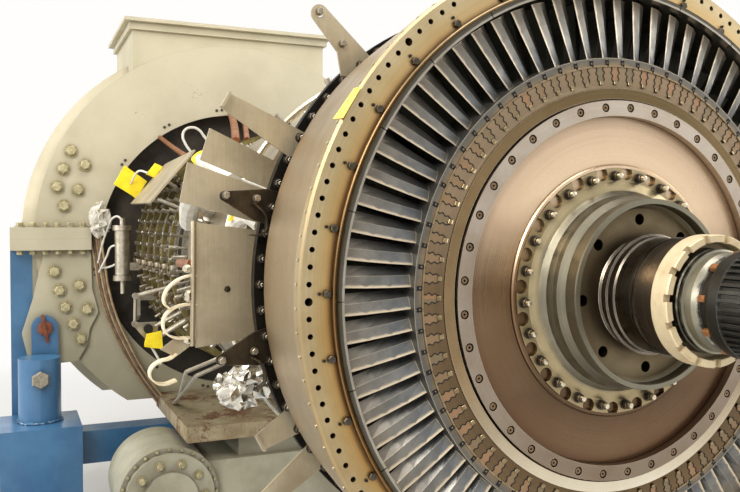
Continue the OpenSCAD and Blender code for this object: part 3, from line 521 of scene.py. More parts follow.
def finish_metal(name, colour, shadow, rough=0.4, metallic=1.0, cloud=0.12, share=0.5, marks="", mark_depth=MARKS,
                 wear=None, wear_width=0.002, wear_breakup=0.6, dirt=None, dirt_reach=0.02, dirt_amount=0.8,
                 rust=None, rust_share=0.3, rust_size=0.15, pits=0.0, pit_size=0.004, seed=0.0, tint=None,
                 coat=0.0, rough_spread=0.12):
    """The common recipe: a clouded colour, worn edges and painted edge highlights, painted shade with soiling in
    corners, rust, and marks in gloss and height.
    """
    material = bpy.data.materials.new(name)
    material.use_nodes = True
    tree = material.node_tree
    surface = tree.nodes["Principled BSDF"]
    patches = use(tree, CLOUDS, {"Size": cloud, "Share": share, "Softness": 0.2, "Seed": seed})["Mask"]
    paint = blend_colours(tree, patches, shade(*shadow), shade(*colour))
    if tint:
        paint = tint(tree, paint)
    gloss = between(tree, patches, 0.0, 1.0, min(1.0, rough + rough_spread), rough)
    normal = None
    if marks:
        lines = (use(tree, TURNED, {"Fineness": 1.4}) if marks == "turned" else
                 use(tree, BRUSHED, {"Stretch": BRUSH_STRETCH[marks]}))["Value"]
        tone = blend_colours(tree, lines, shade(60, 60, 60), shade(235, 235, 235))
        paint = blend_colours(tree, 0.35, paint, tone, "OVERLAY")
        gloss = plus(tree, gloss, times(tree, minus(tree, lines, 0.5), 0.3), clamp=True)
        normal = bump(tree, 0.5, mark_depth, lines)
    # Painted shade in corners and crevices, found from how closed in each point is, with real soiling in it.
    if dirt:
        grime_and_shade = use(tree, CORNER_GRIME_AND_SHADE, {"Reach": dirt_reach, "Amount": dirt_amount})["Mask"]
        paint = blend_colours(tree, grime_and_shade, paint, shade(*dirt))
    # Edge colour: worn metal and dark lines on most pieces, a painted highlight along the blade edges.
    if wear:
        edge_mask = use(tree, EDGE_WEAR_AND_HIGHLIGHT, {"Width": wear_width, "Breakup": wear_breakup})["Mask"]
        paint = blend_colours(tree, edge_mask, paint, shade(*wear))
    shine = metallic
    if rust:
        bloom = use(tree, RUST, {"Size": rust_size, "Share": rust_share, "Seed": seed})
        rusty = blend_colours(tree, bloom["Depth"], shade(*[c * 0.6 for c in rust]), shade(*rust))
        paint = blend_colours(tree, bloom["Mask"], paint, rusty)
        gloss = plus(tree, gloss, times(tree, bloom["Mask"], 0.35), clamp=True)
        if metallic > 0:
            shine = times(tree, minus(tree, 1.0, bloom["Mask"]), metallic)
    if pits:
        normal = bump(tree, 0.6, pits, use(tree, PITS, {"Size": pit_size})["Height"], normal)
    feed(tree, surface.inputs["Base Color"], paint)
    feed(tree, surface.inputs["Roughness"], gloss)
    feed(tree, surface.inputs["Metallic"], shine)
    if normal is not None:
        feed(tree, surface.inputs["Normal"], normal)
    if coat:
        surface.inputs["Coat Weight"].default_value = coat
        surface.inputs["Coat Roughness"].default_value = 0.2
    return material


def finish_paint(name, colour, shadow, **rest):
    """The same recipe for paint, film and everything else that isn't metal."""
    return finish_metal(name, colour, shadow, metallic=0.0, **rest)


def along(rows, patch, label="Radius"):
    """A tint that follows the radius, station or height: (millimetres, colour, strength) rows, shifted by patches."""
    low, high = rows[0][0], rows[-1][0]

    def ramp(tree, share, colours):
        made = node(tree, "ShaderNodeValToRGB", {0: share})
        elements = made.color_ramp.elements
        while len(elements) < len(rows):
            elements.new(0.5)
        for element, row, colour in zip(elements, rows, colours):
            element.position = (row[0] - low) / (high - low)
            element.color = colour
        return made.outputs[0]

    def tint(tree, paint):
        share = between(tree, use(tree, AXIS_PLACE)[label], low, high)
        wobble = use(tree, CLOUDS, {"Size": patch, "Share": 0.5, "Softness": 0.4, "Seed": 7.0})["Mask"]
        moved = plus(tree, share, times(tree, minus(tree, wobble, 0.5), 0.12), clamp=True)
        colours = ramp(tree, moved, [shade(*row[1]) for row in rows])
        strengths = ramp(tree, moved, [(row[2], row[2], row[2], 1) for row in rows])
        return blend_colours(tree, strengths, paint, colours)
    return tint


def both(first, second):
    return lambda tree, paint: second(tree, first(tree, paint))


def each_root(low_radius, high_radius, low, high, amount):
    """Gives every blade root its own tone between two colours, inside a band of radii."""
    fade = 3

    def tint(tree, paint):
        axis = use(tree, AXIS_PLACE)
        place = sums(tree, "ROUND", times(tree, axis["Angle"], BLADES / (2 * math.pi)))
        tone = node(tree, "ShaderNodeTexWhiteNoise", {"W": place}, noise_dimensions="1D").outputs["Value"]
        inside = times(tree, between(tree, axis["Radius"], low_radius - fade, low_radius),
                       between(tree, axis["Radius"], high_radius, high_radius - fade))
        return blend_colours(tree, times(tree, inside, amount), paint,
                             blend_colours(tree, tone, shade(*low), shade(*high)))
    return tint


# ---------------------------------------------------------------- finishes

# A finish takes its colour, its shadow colour and, where it needs them, tables of tints:
# rows of a radius, height or station in millimetres, the colour there and how strongly it covers.
# Heights on the disc: a painted reflection and painted shade, pale towards the top and dark brown low down.
DISC_PAINTED_REFLECTION_HEIGHTS = [
    (-430, (98, 70, 46), 0.9), (-220, (70, 50, 32), 0.9), (20, (120, 90, 62), 0.8), (200, (250, 224, 190), 0.8),
    (400, (248, 222, 190), 0.7)]
DISC_BRONZE_RADII = [
    (205, (84, 66, 50), 0.55), (280, (180, 150, 120), 0.05), (375, (136, 104, 80), 0.35), (430, (112, 92, 66), 0.6),
    (452, (110, 92, 68), 0.8), (490, (124, 102, 76), 0.8)]
disc_bronze = finish_metal(
    "bronzed disc with painted reflection", (206, 184, 156), (178, 152, 124), rough=0.24, cloud=0.16, marks="turned", dirt=(60, 46, 34),
    dirt_reach=0.03, seed=3.0, wear=(64, 54, 44), wear_width=0.0012, wear_breakup=0.2,
    tint=both(along(DISC_PAINTED_REFLECTION_HEIGHTS, 0.25, "Height"), along(DISC_BRONZE_RADII, 0.2)))
BLADE_GRAY_RADII = [
    (452, (146, 126, 96), 0.9), (486, (150, 126, 96), 0.85), (500, (104, 98, 86), 0.8), (530, (92, 98, 106), 0.4),
    (580, (128, 122, 112), 0.3), (645, (130, 114, 92), 0.5)]
# The pale edge colour on the blades is a painted highlight where light catches their edges.
blade_gray = finish_metal(
    "blade steel", (134, 132, 126), (92, 94, 94), rough=0.36, metallic=0.8, cloud=0.05, seed=5.0, pits=0.00006,
    pit_size=0.003, wear=(206, 190, 164), wear_width=0.003, wear_breakup=0.05, tint=both(along(BLADE_GRAY_RADII, 0.05),
    each_root(450, 488, (110, 104, 80), (172, 126, 90), 0.55)))
nozzle_shade = finish_metal(
    "nozzle shade", (104, 104, 92), (74, 74, 64), rough=0.5, metallic=0.3, cloud=0.1, seed=44.0, pits=0.0002)
# Heights on the lip ring: a painted reflection, a bright crescent low down and darker towards the top.
LIP_PAINTED_REFLECTION_HEIGHTS = [
    (-460, (248, 242, 224), 0.85), (-330, (226, 214, 188), 0.6), (-150, (150, 126, 92), 0.4),
    (150, (134, 112, 78), 0.4), (430, (104, 88, 60), 0.7)]
lip_olive = finish_metal(
    "lip ring", (158, 134, 100), (130, 108, 78), rough=0.2, cloud=0.1, marks="turned", seed=2.0,
    tint=along(LIP_PAINTED_REFLECTION_HEIGHTS, 0.2, "Height"), wear=(214, 200, 172), wear_width=0.0015, wear_breakup=0.3)
# Heights on the cover ring: painted light and shade, lighter towards the top and darker towards the bottom.
RING_PAINTED_LIGHT_HEIGHTS = [
    (-420, (120, 102, 82), 0.75), (-120, (138, 122, 104), 0.6), (160, (170, 156, 140), 0.3),
    (420, (206, 196, 178), 0.3)]
ring_steel = finish_metal(
    "cover ring", (196, 184, 170), (170, 154, 138), rough=0.32, cloud=0.08, marks="turned", mark_depth=FINE_MARKS,
    dirt=(40, 30, 22), dirt_reach=0.008, dirt_amount=1.0, seed=8.0, wear=(228, 214, 190), wear_width=0.001,
    wear_breakup=0.4, tint=along(RING_PAINTED_LIGHT_HEIGHTS, 0.2, "Height"))
HUB_TAN_RADII = [
    (110, (96, 80, 60), 0.8), (186, (112, 98, 74), 0.7), (189, (128, 126, 114), 0.75), (216, (122, 120, 108), 0.75),
    (226, (198, 180, 140), 0.5), (262, (190, 168, 126), 0.5)]
hub_tan = finish_metal(
    "hub flange", (172, 158, 128), (142, 128, 100), rough=0.38, cloud=0.07, marks="turned", dirt=(44, 34, 24),
    dirt_reach=0.04, dirt_amount=0.9, seed=4.0, tint=along(HUB_TAN_RADII, 0.2))
sleeve_dark = finish_metal(
    "dark sleeve", (118, 110, 98), (92, 85, 75), rough=0.24, cloud=0.06, marks="turned", wear=(210, 200, 186),
    wear_width=0.0015, seed=1.0)
lock_cream = finish_metal(
    "lock ring", (224, 206, 168), (198, 174, 134), rough=0.5, metallic=0.25, cloud=0.03, share=0.62, dirt=(90, 70, 52),
    dirt_reach=0.012, seed=6.0, wear=(150, 120, 90), wear_width=0.001, pits=0.0001)
SHAFT_DARK_STATIONS = [
    (262, (70, 66, 58), 0.6), (268, (150, 146, 128), 0.85), (298, (164, 158, 140), 0.85), (306, (50, 48, 44), 0.8),
    (330, (62, 60, 54), 0.6), (460, (66, 66, 60), 0.2)]
shaft_dark = finish_metal(
    "splined shaft", (92, 92, 86), (66, 66, 62), rough=0.32, cloud=0.05, wear=(150, 150, 142), wear_width=0.0012,
    dirt=(22, 22, 22), dirt_reach=0.008, seed=9.0, pits=0.00008, tint=along(SHAFT_DARK_STATIONS, 0.02, "Station"))
FLANGE_GOLD_RADII = [
    (662, (92, 60, 32), 0.9), (667, (112, 72, 36), 0.85), (671, (84, 54, 30), 0.85), (677, (176, 126, 54), 0.75),
    (684, (190, 148, 78), 0.6), (700, (188, 154, 90), 0.4), (714, (198, 176, 132), 0.1), (728, (198, 176, 132), 0.1),
    (736, (150, 130, 96), 0.6)]
# Heights on the flange: painted light and shade, paler towards the top and browner towards the bottom.
FLANGE_PAINTED_LIGHT_HEIGHTS = [
    (-700, (140, 104, 58), 0.45), (0, (176, 148, 96), 0.2), (600, (226, 206, 160), 0.25)]
flange_gold = finish_metal(
    "heat tinted flange with painted light", (196, 180, 146), (168, 150, 116), rough=0.34, cloud=0.1, marks="turned", dirt=(90, 62, 30),
    dirt_reach=0.01, seed=10.0, tint=both(along(FLANGE_GOLD_RADII, 0.12), along(FLANGE_PAINTED_LIGHT_HEIGHTS, 0.3, "Height")))
# Radii on the shroud: a pale inner strip, then a dark band from 656.5 mm out that is painted shade standing for a
# recessed groove in its front.
SHROUD_RADII_WITH_PAINTED_GROOVE_SHADE = [
    (650, (176, 168, 154), 0.3), (655, (180, 172, 156), 0.3), (656.5, (74, 70, 58), 0.85), (664, (56, 52, 42), 0.9)]
shroud_pale = finish_metal(
    "shroud steel", (176, 170, 158), (148, 140, 128), rough=0.3, cloud=0.06, marks="turned", mark_depth=FINE_MARKS,
    dirt=(40, 34, 28), dirt_reach=0.01, seed=11.0, tint=along(SHROUD_RADII_WITH_PAINTED_GROOVE_SHADE, 0.02))
CASING_BROWN_STATIONS = [
    (-376, (140, 114, 82), 0.7), (-250, (160, 144, 122), 0.1), (-60, (182, 162, 130), 0.2)]
casing_brown = finish_metal(
    "casing steel", (172, 152, 120), (144, 126, 98), rough=0.4, cloud=0.22, marks="x", mark_depth=FINE_MARKS,
    seed=12.0, pits=0.0001, tint=along(CASING_BROWN_STATIONS, 0.2, "Station"))
# The rear flange is painted near black as painted shade: it stands in the shadow behind the casing.
rear_flange_shade_black = finish_metal(
    "rear flange in painted shade", (50, 46, 40), (34, 31, 28), rough=0.5, cloud=0.05, seed=13.0, pits=0.0002, wear=(120, 110, 96),
    wear_width=0.002)
sheet_gray = finish_metal(
    "panel sheet", (200, 188, 160), (166, 152, 126), rough=0.42, metallic=0.85, cloud=0.18, marks="z", seed=14.0,
    wear=(190, 180, 160), wear_width=0.0012, pits=0.0001, rough_spread=0.2)
core_gray = finish_metal(
    "core casing", (166, 155, 134), (140, 128, 107), rough=0.42, cloud=0.16, seed=15.0, pits=0.0004, pit_size=0.006,
    dirt=(46, 36, 26), dirt_reach=0.06)
cast_gray = finish_metal(
    "cast casing", (150, 142, 126), (118, 109, 94), rough=0.55, metallic=0.6, cloud=0.08, seed=16.0, pits=0.0006,
    pit_size=0.005, dirt=(44, 36, 28), dirt_reach=0.05)
olive_band = finish_metal(
    "unison ring", (150, 136, 84), (96, 84, 48), rough=0.45, metallic=0.7, cloud=0.05, seed=17.0, pits=0.0002,
    dirt=(40, 34, 22), dirt_reach=0.02)
lever_steel = finish_metal(
    "lever steel", (190, 182, 166), (150, 140, 122), rough=0.35, cloud=0.03, seed=18.0, dirt=(50, 42, 32),
    dirt_reach=0.012)
# Heights on the intake paint: painted shade and light, darker towards the bottom and paler at the top.
INTAKE_PAINTED_LIGHT_HEIGHTS = [
    (-1100, (126, 120, 94), 0.7), (-400, (158, 152, 126), 0.4), (300, (200, 190, 164), 0.2),
    (1200, (206, 196, 168), 0.3)]
intake_paint = finish_paint(
    "gray green paint", (192, 184, 158), (172, 164, 138), rough=0.55, cloud=0.3, seed=19.0, pits=0.0003,
    tint=along(INTAKE_PAINTED_LIGHT_HEIGHTS, 0.3, "Height"), rust=(150, 96, 58), rust_share=0.36, rust_size=0.5,
    wear=(150, 140, 118), wear_width=0.003, dirt=(80, 70, 52), dirt_reach=0.04, dirt_amount=0.6)
cream_paint = finish_paint(
    "cream paint", (214, 206, 182), (196, 188, 164), rough=0.5, cloud=0.4, seed=20.0, pits=0.0003, rust=(160, 116, 76),
    rust_share=0.31, rust_size=0.35, dirt=(110, 96, 72), dirt_reach=0.04, dirt_amount=0.5)
gear_paint = finish_paint(
    "gearbox paint", (176, 172, 150), (150, 144, 122), rough=0.5, cloud=0.2, seed=21.0, pits=0.0006, pit_size=0.006,
    rust=(130, 84, 50), rust_share=0.34, rust_size=0.2, dirt=(60, 48, 34), dirt_reach=0.05)
stand_blue = finish_paint(
    "stand blue paint", (66, 114, 152), (48, 92, 130), rough=0.32, cloud=0.25, seed=22.0, pits=0.0004, pit_size=0.008,
    wear=(120, 112, 104), wear_width=0.003, wear_breakup=0.9, rust=(112, 70, 44), rust_share=0.27, rust_size=0.12,
    coat=0.4, dirt=(28, 44, 60), dirt_reach=0.03)
bolt_steel = finish_metal(
    "bolt steel", (176, 168, 150), (140, 130, 112), rough=0.32, cloud=0.01, seed=23.0, dirt=(50, 42, 34),
    dirt_reach=0.006, wear=(220, 212, 196), wear_width=0.0008)
bolt_dark = finish_metal(
    "dark bolts", (96, 88, 76), (66, 60, 52), rough=0.4, cloud=0.01, seed=24.0, dirt=(26, 22, 18), dirt_reach=0.008,
    wear=(160, 150, 134), wear_width=0.001)
screw_brown = finish_metal(
    "brown screws", (146, 122, 96), (112, 92, 70), rough=0.34, cloud=0.01, seed=25.0, dirt=(20, 14, 10),
    dirt_reach=0.006, dirt_amount=1.0)
ledge_pale = finish_metal(
    "platform ledge", (164, 146, 116), (134, 116, 88), rough=0.34, cloud=0.02, seed=26.0)
tab_bright = finish_metal(
    "root tabs", (158, 142, 110), (124, 108, 80), rough=0.3, cloud=0.01, seed=27.0, dirt=(60, 46, 30),
    dirt_reach=0.004)
stud_bright = finish_metal(
    "bright studs", (232, 224, 204), (200, 188, 160), rough=0.24, cloud=0.01, seed=28.0, dirt=(60, 50, 40),
    dirt_reach=0.004)
rust_orange = finish_metal(
    "orange stain", (164, 110, 62), (110, 72, 44), rough=0.5, metallic=0.5, cloud=0.01, seed=29.0)
rust_red = finish_metal(
    "rusty pins", (136, 74, 46), (92, 50, 32), rough=0.6, metallic=0.1, cloud=0.03, seed=43.0, pits=0.0003)
# Black for the fir-tree seams and the lip pegs, and painted shade for openings between the platforms and in the crank.
deep_black = finish_paint(
    "black seams and painted gap shade", (24, 20, 16), (14, 12, 10), rough=0.8, cloud=0.01, seed=30.0)
cap_yellow = finish_paint(
    "yellow covers", (250, 226, 36), (236, 204, 20), rough=0.45, cloud=0.05, seed=31.0, pits=0.0003,
    dirt=(150, 110, 10), dirt_reach=0.01, dirt_amount=0.6)
label_yellow = finish_paint(
    "blank label", (252, 232, 104), (244, 220, 84), rough=0.5, cloud=0.03, seed=39.0)
film_white = finish_paint(
    "white wraps", (222, 218, 206), (196, 190, 174), rough=0.4, cloud=0.04, seed=32.0, pits=0.0006, pit_size=0.01,
    dirt=(150, 136, 110), dirt_reach=0.02, dirt_amount=0.5)
foil_silver = finish_metal(
    "foil wrap", (226, 222, 212), (170, 164, 152), rough=0.22, cloud=0.02, seed=33.0, pits=0.0005, pit_size=0.01)
pipe_copper = finish_metal(
    "copper pipes", (190, 126, 88), (140, 88, 60), rough=0.32, cloud=0.06, seed=34.0, dirt=(50, 30, 20),
    dirt_reach=0.02)
strap_cream = finish_paint(
    "cream straps", (238, 226, 196), (212, 194, 156), rough=0.4, cloud=0.03, seed=35.0, dirt=(120, 90, 56),
    dirt_reach=0.012)
hose_tan = finish_paint(
    "tan hoses", (178, 154, 116), (132, 108, 78), rough=0.5, cloud=0.04, seed=40.0)
bulkhead_dark = finish_metal(
    "dark bulkhead", (66, 58, 48), (36, 31, 25), rough=0.6, metallic=0.3, cloud=0.12, seed=41.0, pits=0.0004)
ledge_rust = finish_paint(
    "stained ledge", (170, 158, 126), (128, 110, 80), rough=0.55, cloud=0.12, seed=42.0, pits=0.0004,
    rust=(120, 78, 44), rust_share=0.5, rust_size=0.3, wear=(112, 78, 50), wear_width=0.006, wear_breakup=0.3)
hose_brown = finish_paint(
    "hoses and cables", (126, 100, 76), (70, 56, 44), rough=0.55, cloud=0.04, seed=36.0)
bracket_dark = finish_metal(
    "dark brackets", (84, 74, 60), (58, 50, 40), rough=0.4, cloud=0.05, marks="z", mark_depth=FINE_MARKS, seed=37.0,
    wear=(190, 176, 150), wear_width=0.0015)
bolt_painted = finish_metal(
    "painted bolts", (196, 186, 146), (150, 138, 100), rough=0.45, metallic=0.2, cloud=0.02, seed=38.0,
    dirt=(70, 58, 36), dirt_reach=0.02, wear=(120, 112, 96), wear_width=0.002)

NODE_FINISH = {
    disc_bronze: "turbine_disc", blade_gray: "turbine_blades", lip_olive: "blade_lip_ring", ring_steel: "cover_ring",
    hub_tan: "hub_flange", sleeve_dark: "shaft_sleeve", lock_cream: "lock_ring", shaft_dark: "splined_shaft",
    flange_gold: "exhaust_flange", shroud_pale: "shroud_ring", casing_brown: "turbine_casing",
    nozzle_shade: "nozzle_ring", rear_flange_shade_black: "rear_flange", sheet_gray: "radial_straps heat_panels",
    bracket_dark: "pipe_brackets", cast_gray: "compressor_casing", olive_band: "vane_rings",
    core_gray: "bearing_housing turbine_frame core_flanges combustor_casing",
    lever_steel: "vane_levers actuator bell_crank", bulkhead_dark: "intake_bulkhead", ledge_rust: "ledge",
    intake_paint: "intake_plate_upper intake_plate_lower split_flange_upper split_flange_lower inlet_hood "
                  "side_brackets",
    cream_paint: "intake_shell_upper intake_shell_lower intake_back_plate",
    gear_paint: "gearbox_housing gearbox_covers",
    stand_blue: "stand_columns stand_posts stand_lugs stand_uprights cross_beams bottom_rails front_cradle",
}
for finish, node_names in NODE_FINISH.items():
    for node_name in node_names.split():
        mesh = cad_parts[node_name].data
        mesh.materials.clear()
        mesh.materials.append(finish)


# ---------------------------------------------------------------- small parts

def hex_head(across, height, washer=0.0, washer_t=0.0):
    """A hexagon head with a chamfered top, on a round washer when one is given."""
    head = stepped(round_bar(across / math.sqrt(3), height, 6, low=washer_t), edge=across * 0.08)
    return weld_together([head, round_bar(washer, washer_t, 20)]) if washer else head


def peg(radius, height, sides, edge, low=0.0, segments=2):
    """A short round bar with softened edges."""
    return soften(round_bar(radius, height, sides, low), edge, segments)


# ---------------------------------------------------------------- rotor

screw = stepped(round_bar(0.0066, 0.0098), (0.0042, -0.0049))
spread(screw, round_the_axis(37, -11, 400), "ring_screws", screw_brown, "rotor")

BLADE_FACE = -8
FIR_TREE = ((9.65, 487.4), (7.65, 482.2), (11.65, 475.4), (6.65, 468.6), (9.35, 461.8), (4.65, 452.8))
seam_points = [Vector((radius * MM, -across * MM, 0)) for across, radius in FIR_TREE]
seam_points += [Vector((radius * MM, across * MM, 0)) for across, radius in reversed(FIR_TREE)]
spread(tube(seam_points, 0.0014, 4, round_corners=False), round_the_axis(BLADES, BLADE_FACE, 0),
       "root_seams", deep_black, "rotor", 60)

HALF_PITCH = 180 / BLADES
spread(slab((-0.0015, -0.0182, 0), (0.0017, 0.0182, 0.0026)), round_the_axis(BLADES, BLADE_FACE, 489.5),
       "platform_ledges", ledge_pale, "rotor")
# Dark plates between the platforms are painted shade for the openings there; the pins in them take the dark bolt
# colour for the same shade.
plug = stepped(slab((-0.0062, -0.0046, 0), (0.0062, 0.0046, 0.0009)), (0.0014, -0.0005))
spread(plug, round_the_axis(BLADES, BLADE_FACE, 496.5, HALF_PITCH), "platform_gap_shade", deep_black, "rotor")
knob = stepped(round_bar(0.0027, 0.0028, 8), edge=0.0011)
spread(knob, round_the_axis(BLADES, BLADE_FACE, 495.5, HALF_PITCH), "damper_pins", bolt_dark, "rotor")
tab = slab((-0.003, -0.0048, 0), (0.003, 0.0048, 0.003))
pick(tab, lambda middle, normal: normal.x < -0.9)
push((-0.003, 0, 0.0025))
spread(soften(done(tab), 0.0007, 1), round_the_axis(BLADES, BLADE_FACE, 455.5),
       "root_tabs", tab_bright, "rotor")

hub_circle = round_the_axis(24, -11, 252, 3.75)
nut = stepped(round_bar(0.0115, 0.0025), (0.0022, 0.0105), edge=0.0012)
stud = stepped(round_bar(0.0062, 0.0095, 12, low=0.013), edge=0.0025, segments=2)
spread(nut, hub_circle, "hub_nuts", bolt_dark, "rotor")
spread(stud, hub_circle, "hub_studs", stud_bright, "rotor")

washer_tab = slab((-0.006, -0.0065, 0), (0.0035, 0.0065, 0.016))
pick(washer_tab, lambda middle, normal: normal.x > 0.9)
inset(0.0016)
bpy.ops.transform.translate(value=(0.0008, 0, 0))
spread(soften(done(washer_tab), 0.0008, 1), round_the_axis(9, 304, 92.5, 12),
       "neck_washer_tabs", rust_orange, "rotor")


# ---------------------------------------------------------------- exhaust flange, casing and rear flange

spread(hex_head(0.0145, 0.0085), round_the_axis(34, -38, 678.5, 9.4), "lip_bolts", bolt_dark)
spread(peg(0.0032, 0.004, 10, 0.0008, segments=1), round_the_axis(34, -38, 693, 9.4),
       "lip_pegs", deep_black)
spread(round_bar(0.0034, 0.0022, 10), [standing(-52, 734.5, 1 + i * 3.6) for i in range(100)],
       "flange_edge_plugs", stud_bright)

BRACKET_SPANS = ((125.6, 135.4), (147.8, 154.2), (161.2, 168.0), (188.2, 195.2), (204.6, 210.8), (213.4, 219.6))


def band_station(angle):
    """The rear flange's face, or the face of the bracket that covers it at this angle."""
    side = angle % 360 if 90 <= angle % 360 <= 270 else (180 - angle) % 360
    return -433.8 if any(low <= side <= high for low, high in BRACKET_SPANS) else -440.2


band_places = [facing(on_axis(band_station(4.5 + i * 5), 692, 4.5 + i * 5), roll=i * 23) for i in range(72)]
spread(hex_head(0.0175, 0.0115, 0.0115, 0.0018), band_places, "band_nuts", bolt_dark)
spread(peg(0.0046, 0.008, 10, 0.001, low=0.0125, segments=1), band_places, "band_studs", stud_bright)

clamp_bolts = seen(((225.7, 195.2), (256.5, 198.6), (221.9, 360.3), (254, 351), (319, 12), (342, 44)), -434)
spread(hex_head(0.0145, 0.012, 0.0095, 0.002), [facing(point, roll=11) for point in clamp_bolts],
       "bracket_bolts", bolt_steel)
CLIP_LINES = (((252.7, 203), (258, 208), (263.5, 214), (266, 222), (266, 230), (261, 234.5), (249, 235)),
              ((250.5, 357), (258, 361), (263, 368), (265, 376), (263, 384), (257.5, 388)))
for number, line in enumerate(CLIP_LINES):
    hand_over(ribbon(seen(line, -423), 0.022, 0.0035), f"pipe_clip_{number + 1}", bracket_dark)

hand_over(tube(seen(((193.6, 221), (193.2, 280), (192.4, 346)), -537), 0.006, 12),
          "panel_hem", sheet_gray)
spread(peg(0.008, 0.0025, 20, 0.001), [facing(seen_at(227.2, 289, -540))],
       "panel_button", bracket_dark)

LABEL_STRIPS = 4
strips = []
for k in range(LABEL_STRIPS):
    ends = (k / LABEL_STRIPS, (k + 1) / LABEL_STRIPS)
    corners = [(354 - 21 * t, 88.4 + 30.6 * t) for t in ends]
    corners[1:1] = [(361.5 - 18.5 * t, 86.5 + 31.5 * t) for t in ends]
    strips.append(plate([seen_at(u, v, radius=735.6) for u, v in corners], 0.0008))
hand_over(weld_together(strips), "yellow_label", label_yellow)


# ---------------------------------------------------------------- dress of the core

STRAP_LINES = (((196, 275), (184, 277), (172, 284), (165, 293), (164, 303), (170, 309)),
               ((196, 304), (180, 305.5), (168, 312), (163, 322), (164.5, 331), (171, 336.5), (190, 338)),
               ((176, 353), (170, 358), (160, 361), (151, 368), (149.5, 375), (154, 381.5), (163, 384), (176, 380)))
hand_over(weld_together([ribbon(seen(line, -552), 0.03, 0.004) for line in STRAP_LINES]),
          "curved_straps", strap_cream)
strap_bolts = seen(((187, 268.5), (189, 294), (189, 298), (188, 340)), -548)
spread(hex_head(0.013, 0.012, 0.01, 0.002), [facing(point, (1, -0.6, 0)) for point in strap_bolts],
       "strap_bolts", stud_bright)

stage_nuts, joint_blocks, joint_nuts = [], [], []
for i in range(6):
    station, ring_radius = -3130 + i * 165, 618 - i * 7
    stage_nuts += [standing(station + 70, ring_radius - 28, 148 + k * 5.5, k * 17) for k in range(13)]
    joint_nuts += [standing(station + 12, ring_radius - 13, angle) for angle in (184.5, 187.2, 199.5)]
    joint_blocks.append(standing(station + 12, ring_radius - 15, 186))
spindle = weld_together([hex_head(0.016, 0.03, 0.012, 0.006), round_bar(0.006, 0.1, 8, low=-0.1)])
spread(spindle, stage_nuts, "vane_spindles", bolt_steel)
spread(hex_head(0.026, 0.016, 0.018, 0.004), joint_nuts, "ring_joint_nuts", ledge_pale)
spread(soften(slab((-0.05, -0.026, -0.02), (0.05, 0.026, 0.012)), 0.004), joint_blocks,
       "ring_joints", lever_steel)
spread(hex_head(0.019, 0.016, 0.014, 0.003), round_the_axis(60, -847.5, 603, 3),
       "frame_flange_nuts", bolt_dark)

deck = plate(seen(((131, 204, -3060), (165.5, 164.5, -3060), (195, 150, -2150), (150, 203, -2150))), 0.008)
hand_over(deck, "deck_sheet", sheet_gray)
deck_spots = seen(((140, 200, -3040), (163, 171, -3040), (190, 156, -2180), (157, 199, -2180), (165, 180, -2600)))
hand_over(weld_together([stay(spot, 0.495, 0.008) for spot in deck_spots]), "deck_stays", lever_steel)

# Each cover's station, thickness and corners, then where its stub stands and the radius it reaches down to.
COVERS = ((-3120, 0.03, ((114.5, 184), (124, 166), (147, 181), (136, 198)), (130, 182), 0.5),
          (-2980, 0.03, ((147, 174), (155, 163), (163, 167), (155, 178)), (155, 170), 0.5),
          (-1500, 0.02, ((185, 214), (190, 196), (198, 194), (196, 214)), (191, 205), 0.5),
          (-760, 0.012, ((229, 221), (231, 214), (247, 210), (246, 217)), (238, 216), 0.56),
          (-760, 0.012, ((231, 210), (232, 205), (238, 207), (236, 211)), (235, 208), 0.56),
          (-2300, 0.03, ((144, 346), (146, 334), (161, 331), (163, 349)), (153, 340), 0.49))
covers = weld_together([plate(seen(corners, station), thick) for station, thick, corners, _, _ in COVERS])
hand_over(crumple(covers, 0.004, 3), "yellow_covers", cap_yellow)
stubs = [stay(seen_at(*spot, station), foot, 0.012) for station, _, _, spot, foot in COVERS]
hand_over(weld_together(stubs), "cover_stubs", lever_steel)
spread(peg(0.026, 0.02, 20, 0.004), [facing(seen_at(201.5, 160, -1150), (0.3, -0.6, 0.7))],
       "yellow_cap", cap_yellow)


def pipes(*rows):
    """Pipes by the picture: each row has a radius, a number of sides and (u, v, station) points."""
    return [tube(seen(points), radius, sides) for radius, sides, *points in rows]


sleeves = pipes((0.02, 12, (200, 160, -1160), (216, 168, -900), (234, 181, -640)),
                (0.036, 12, (189, 222, -1700), (190, 205, -1500), (197, 192, -1250)),
                (0.022, 12, (236, 224, -800), (247, 216, -700), (262, 226, -600)))
sleeves += [stay(spot, 0.56, 0.014) for spot in seen(((232, 180, -660), (247, 216, -700)))]
hand_over(weld_together(sleeves), "white_sleeves", film_white)

coppers = pipes((0.013, 8, (158, 136, -3340), (171, 146, -3000), (186, 156, -2500)),
                (0.02, 8, (231, 114, -3340), (234, 124, -2900), (236, 141, -2300)),
                (0.014, 8, (243, 118, -3340), (245, 126, -2900), (247, 140, -2300)),
                (0.014, 10, (180, 263, -1150), (186, 264, -1000), (192, 264, -850)))
coppers.append(stay(seen_at(192, 264, -850), 0.56, 0.014))
hand_over(weld_together(coppers), "copper_pipes", pipe_copper)

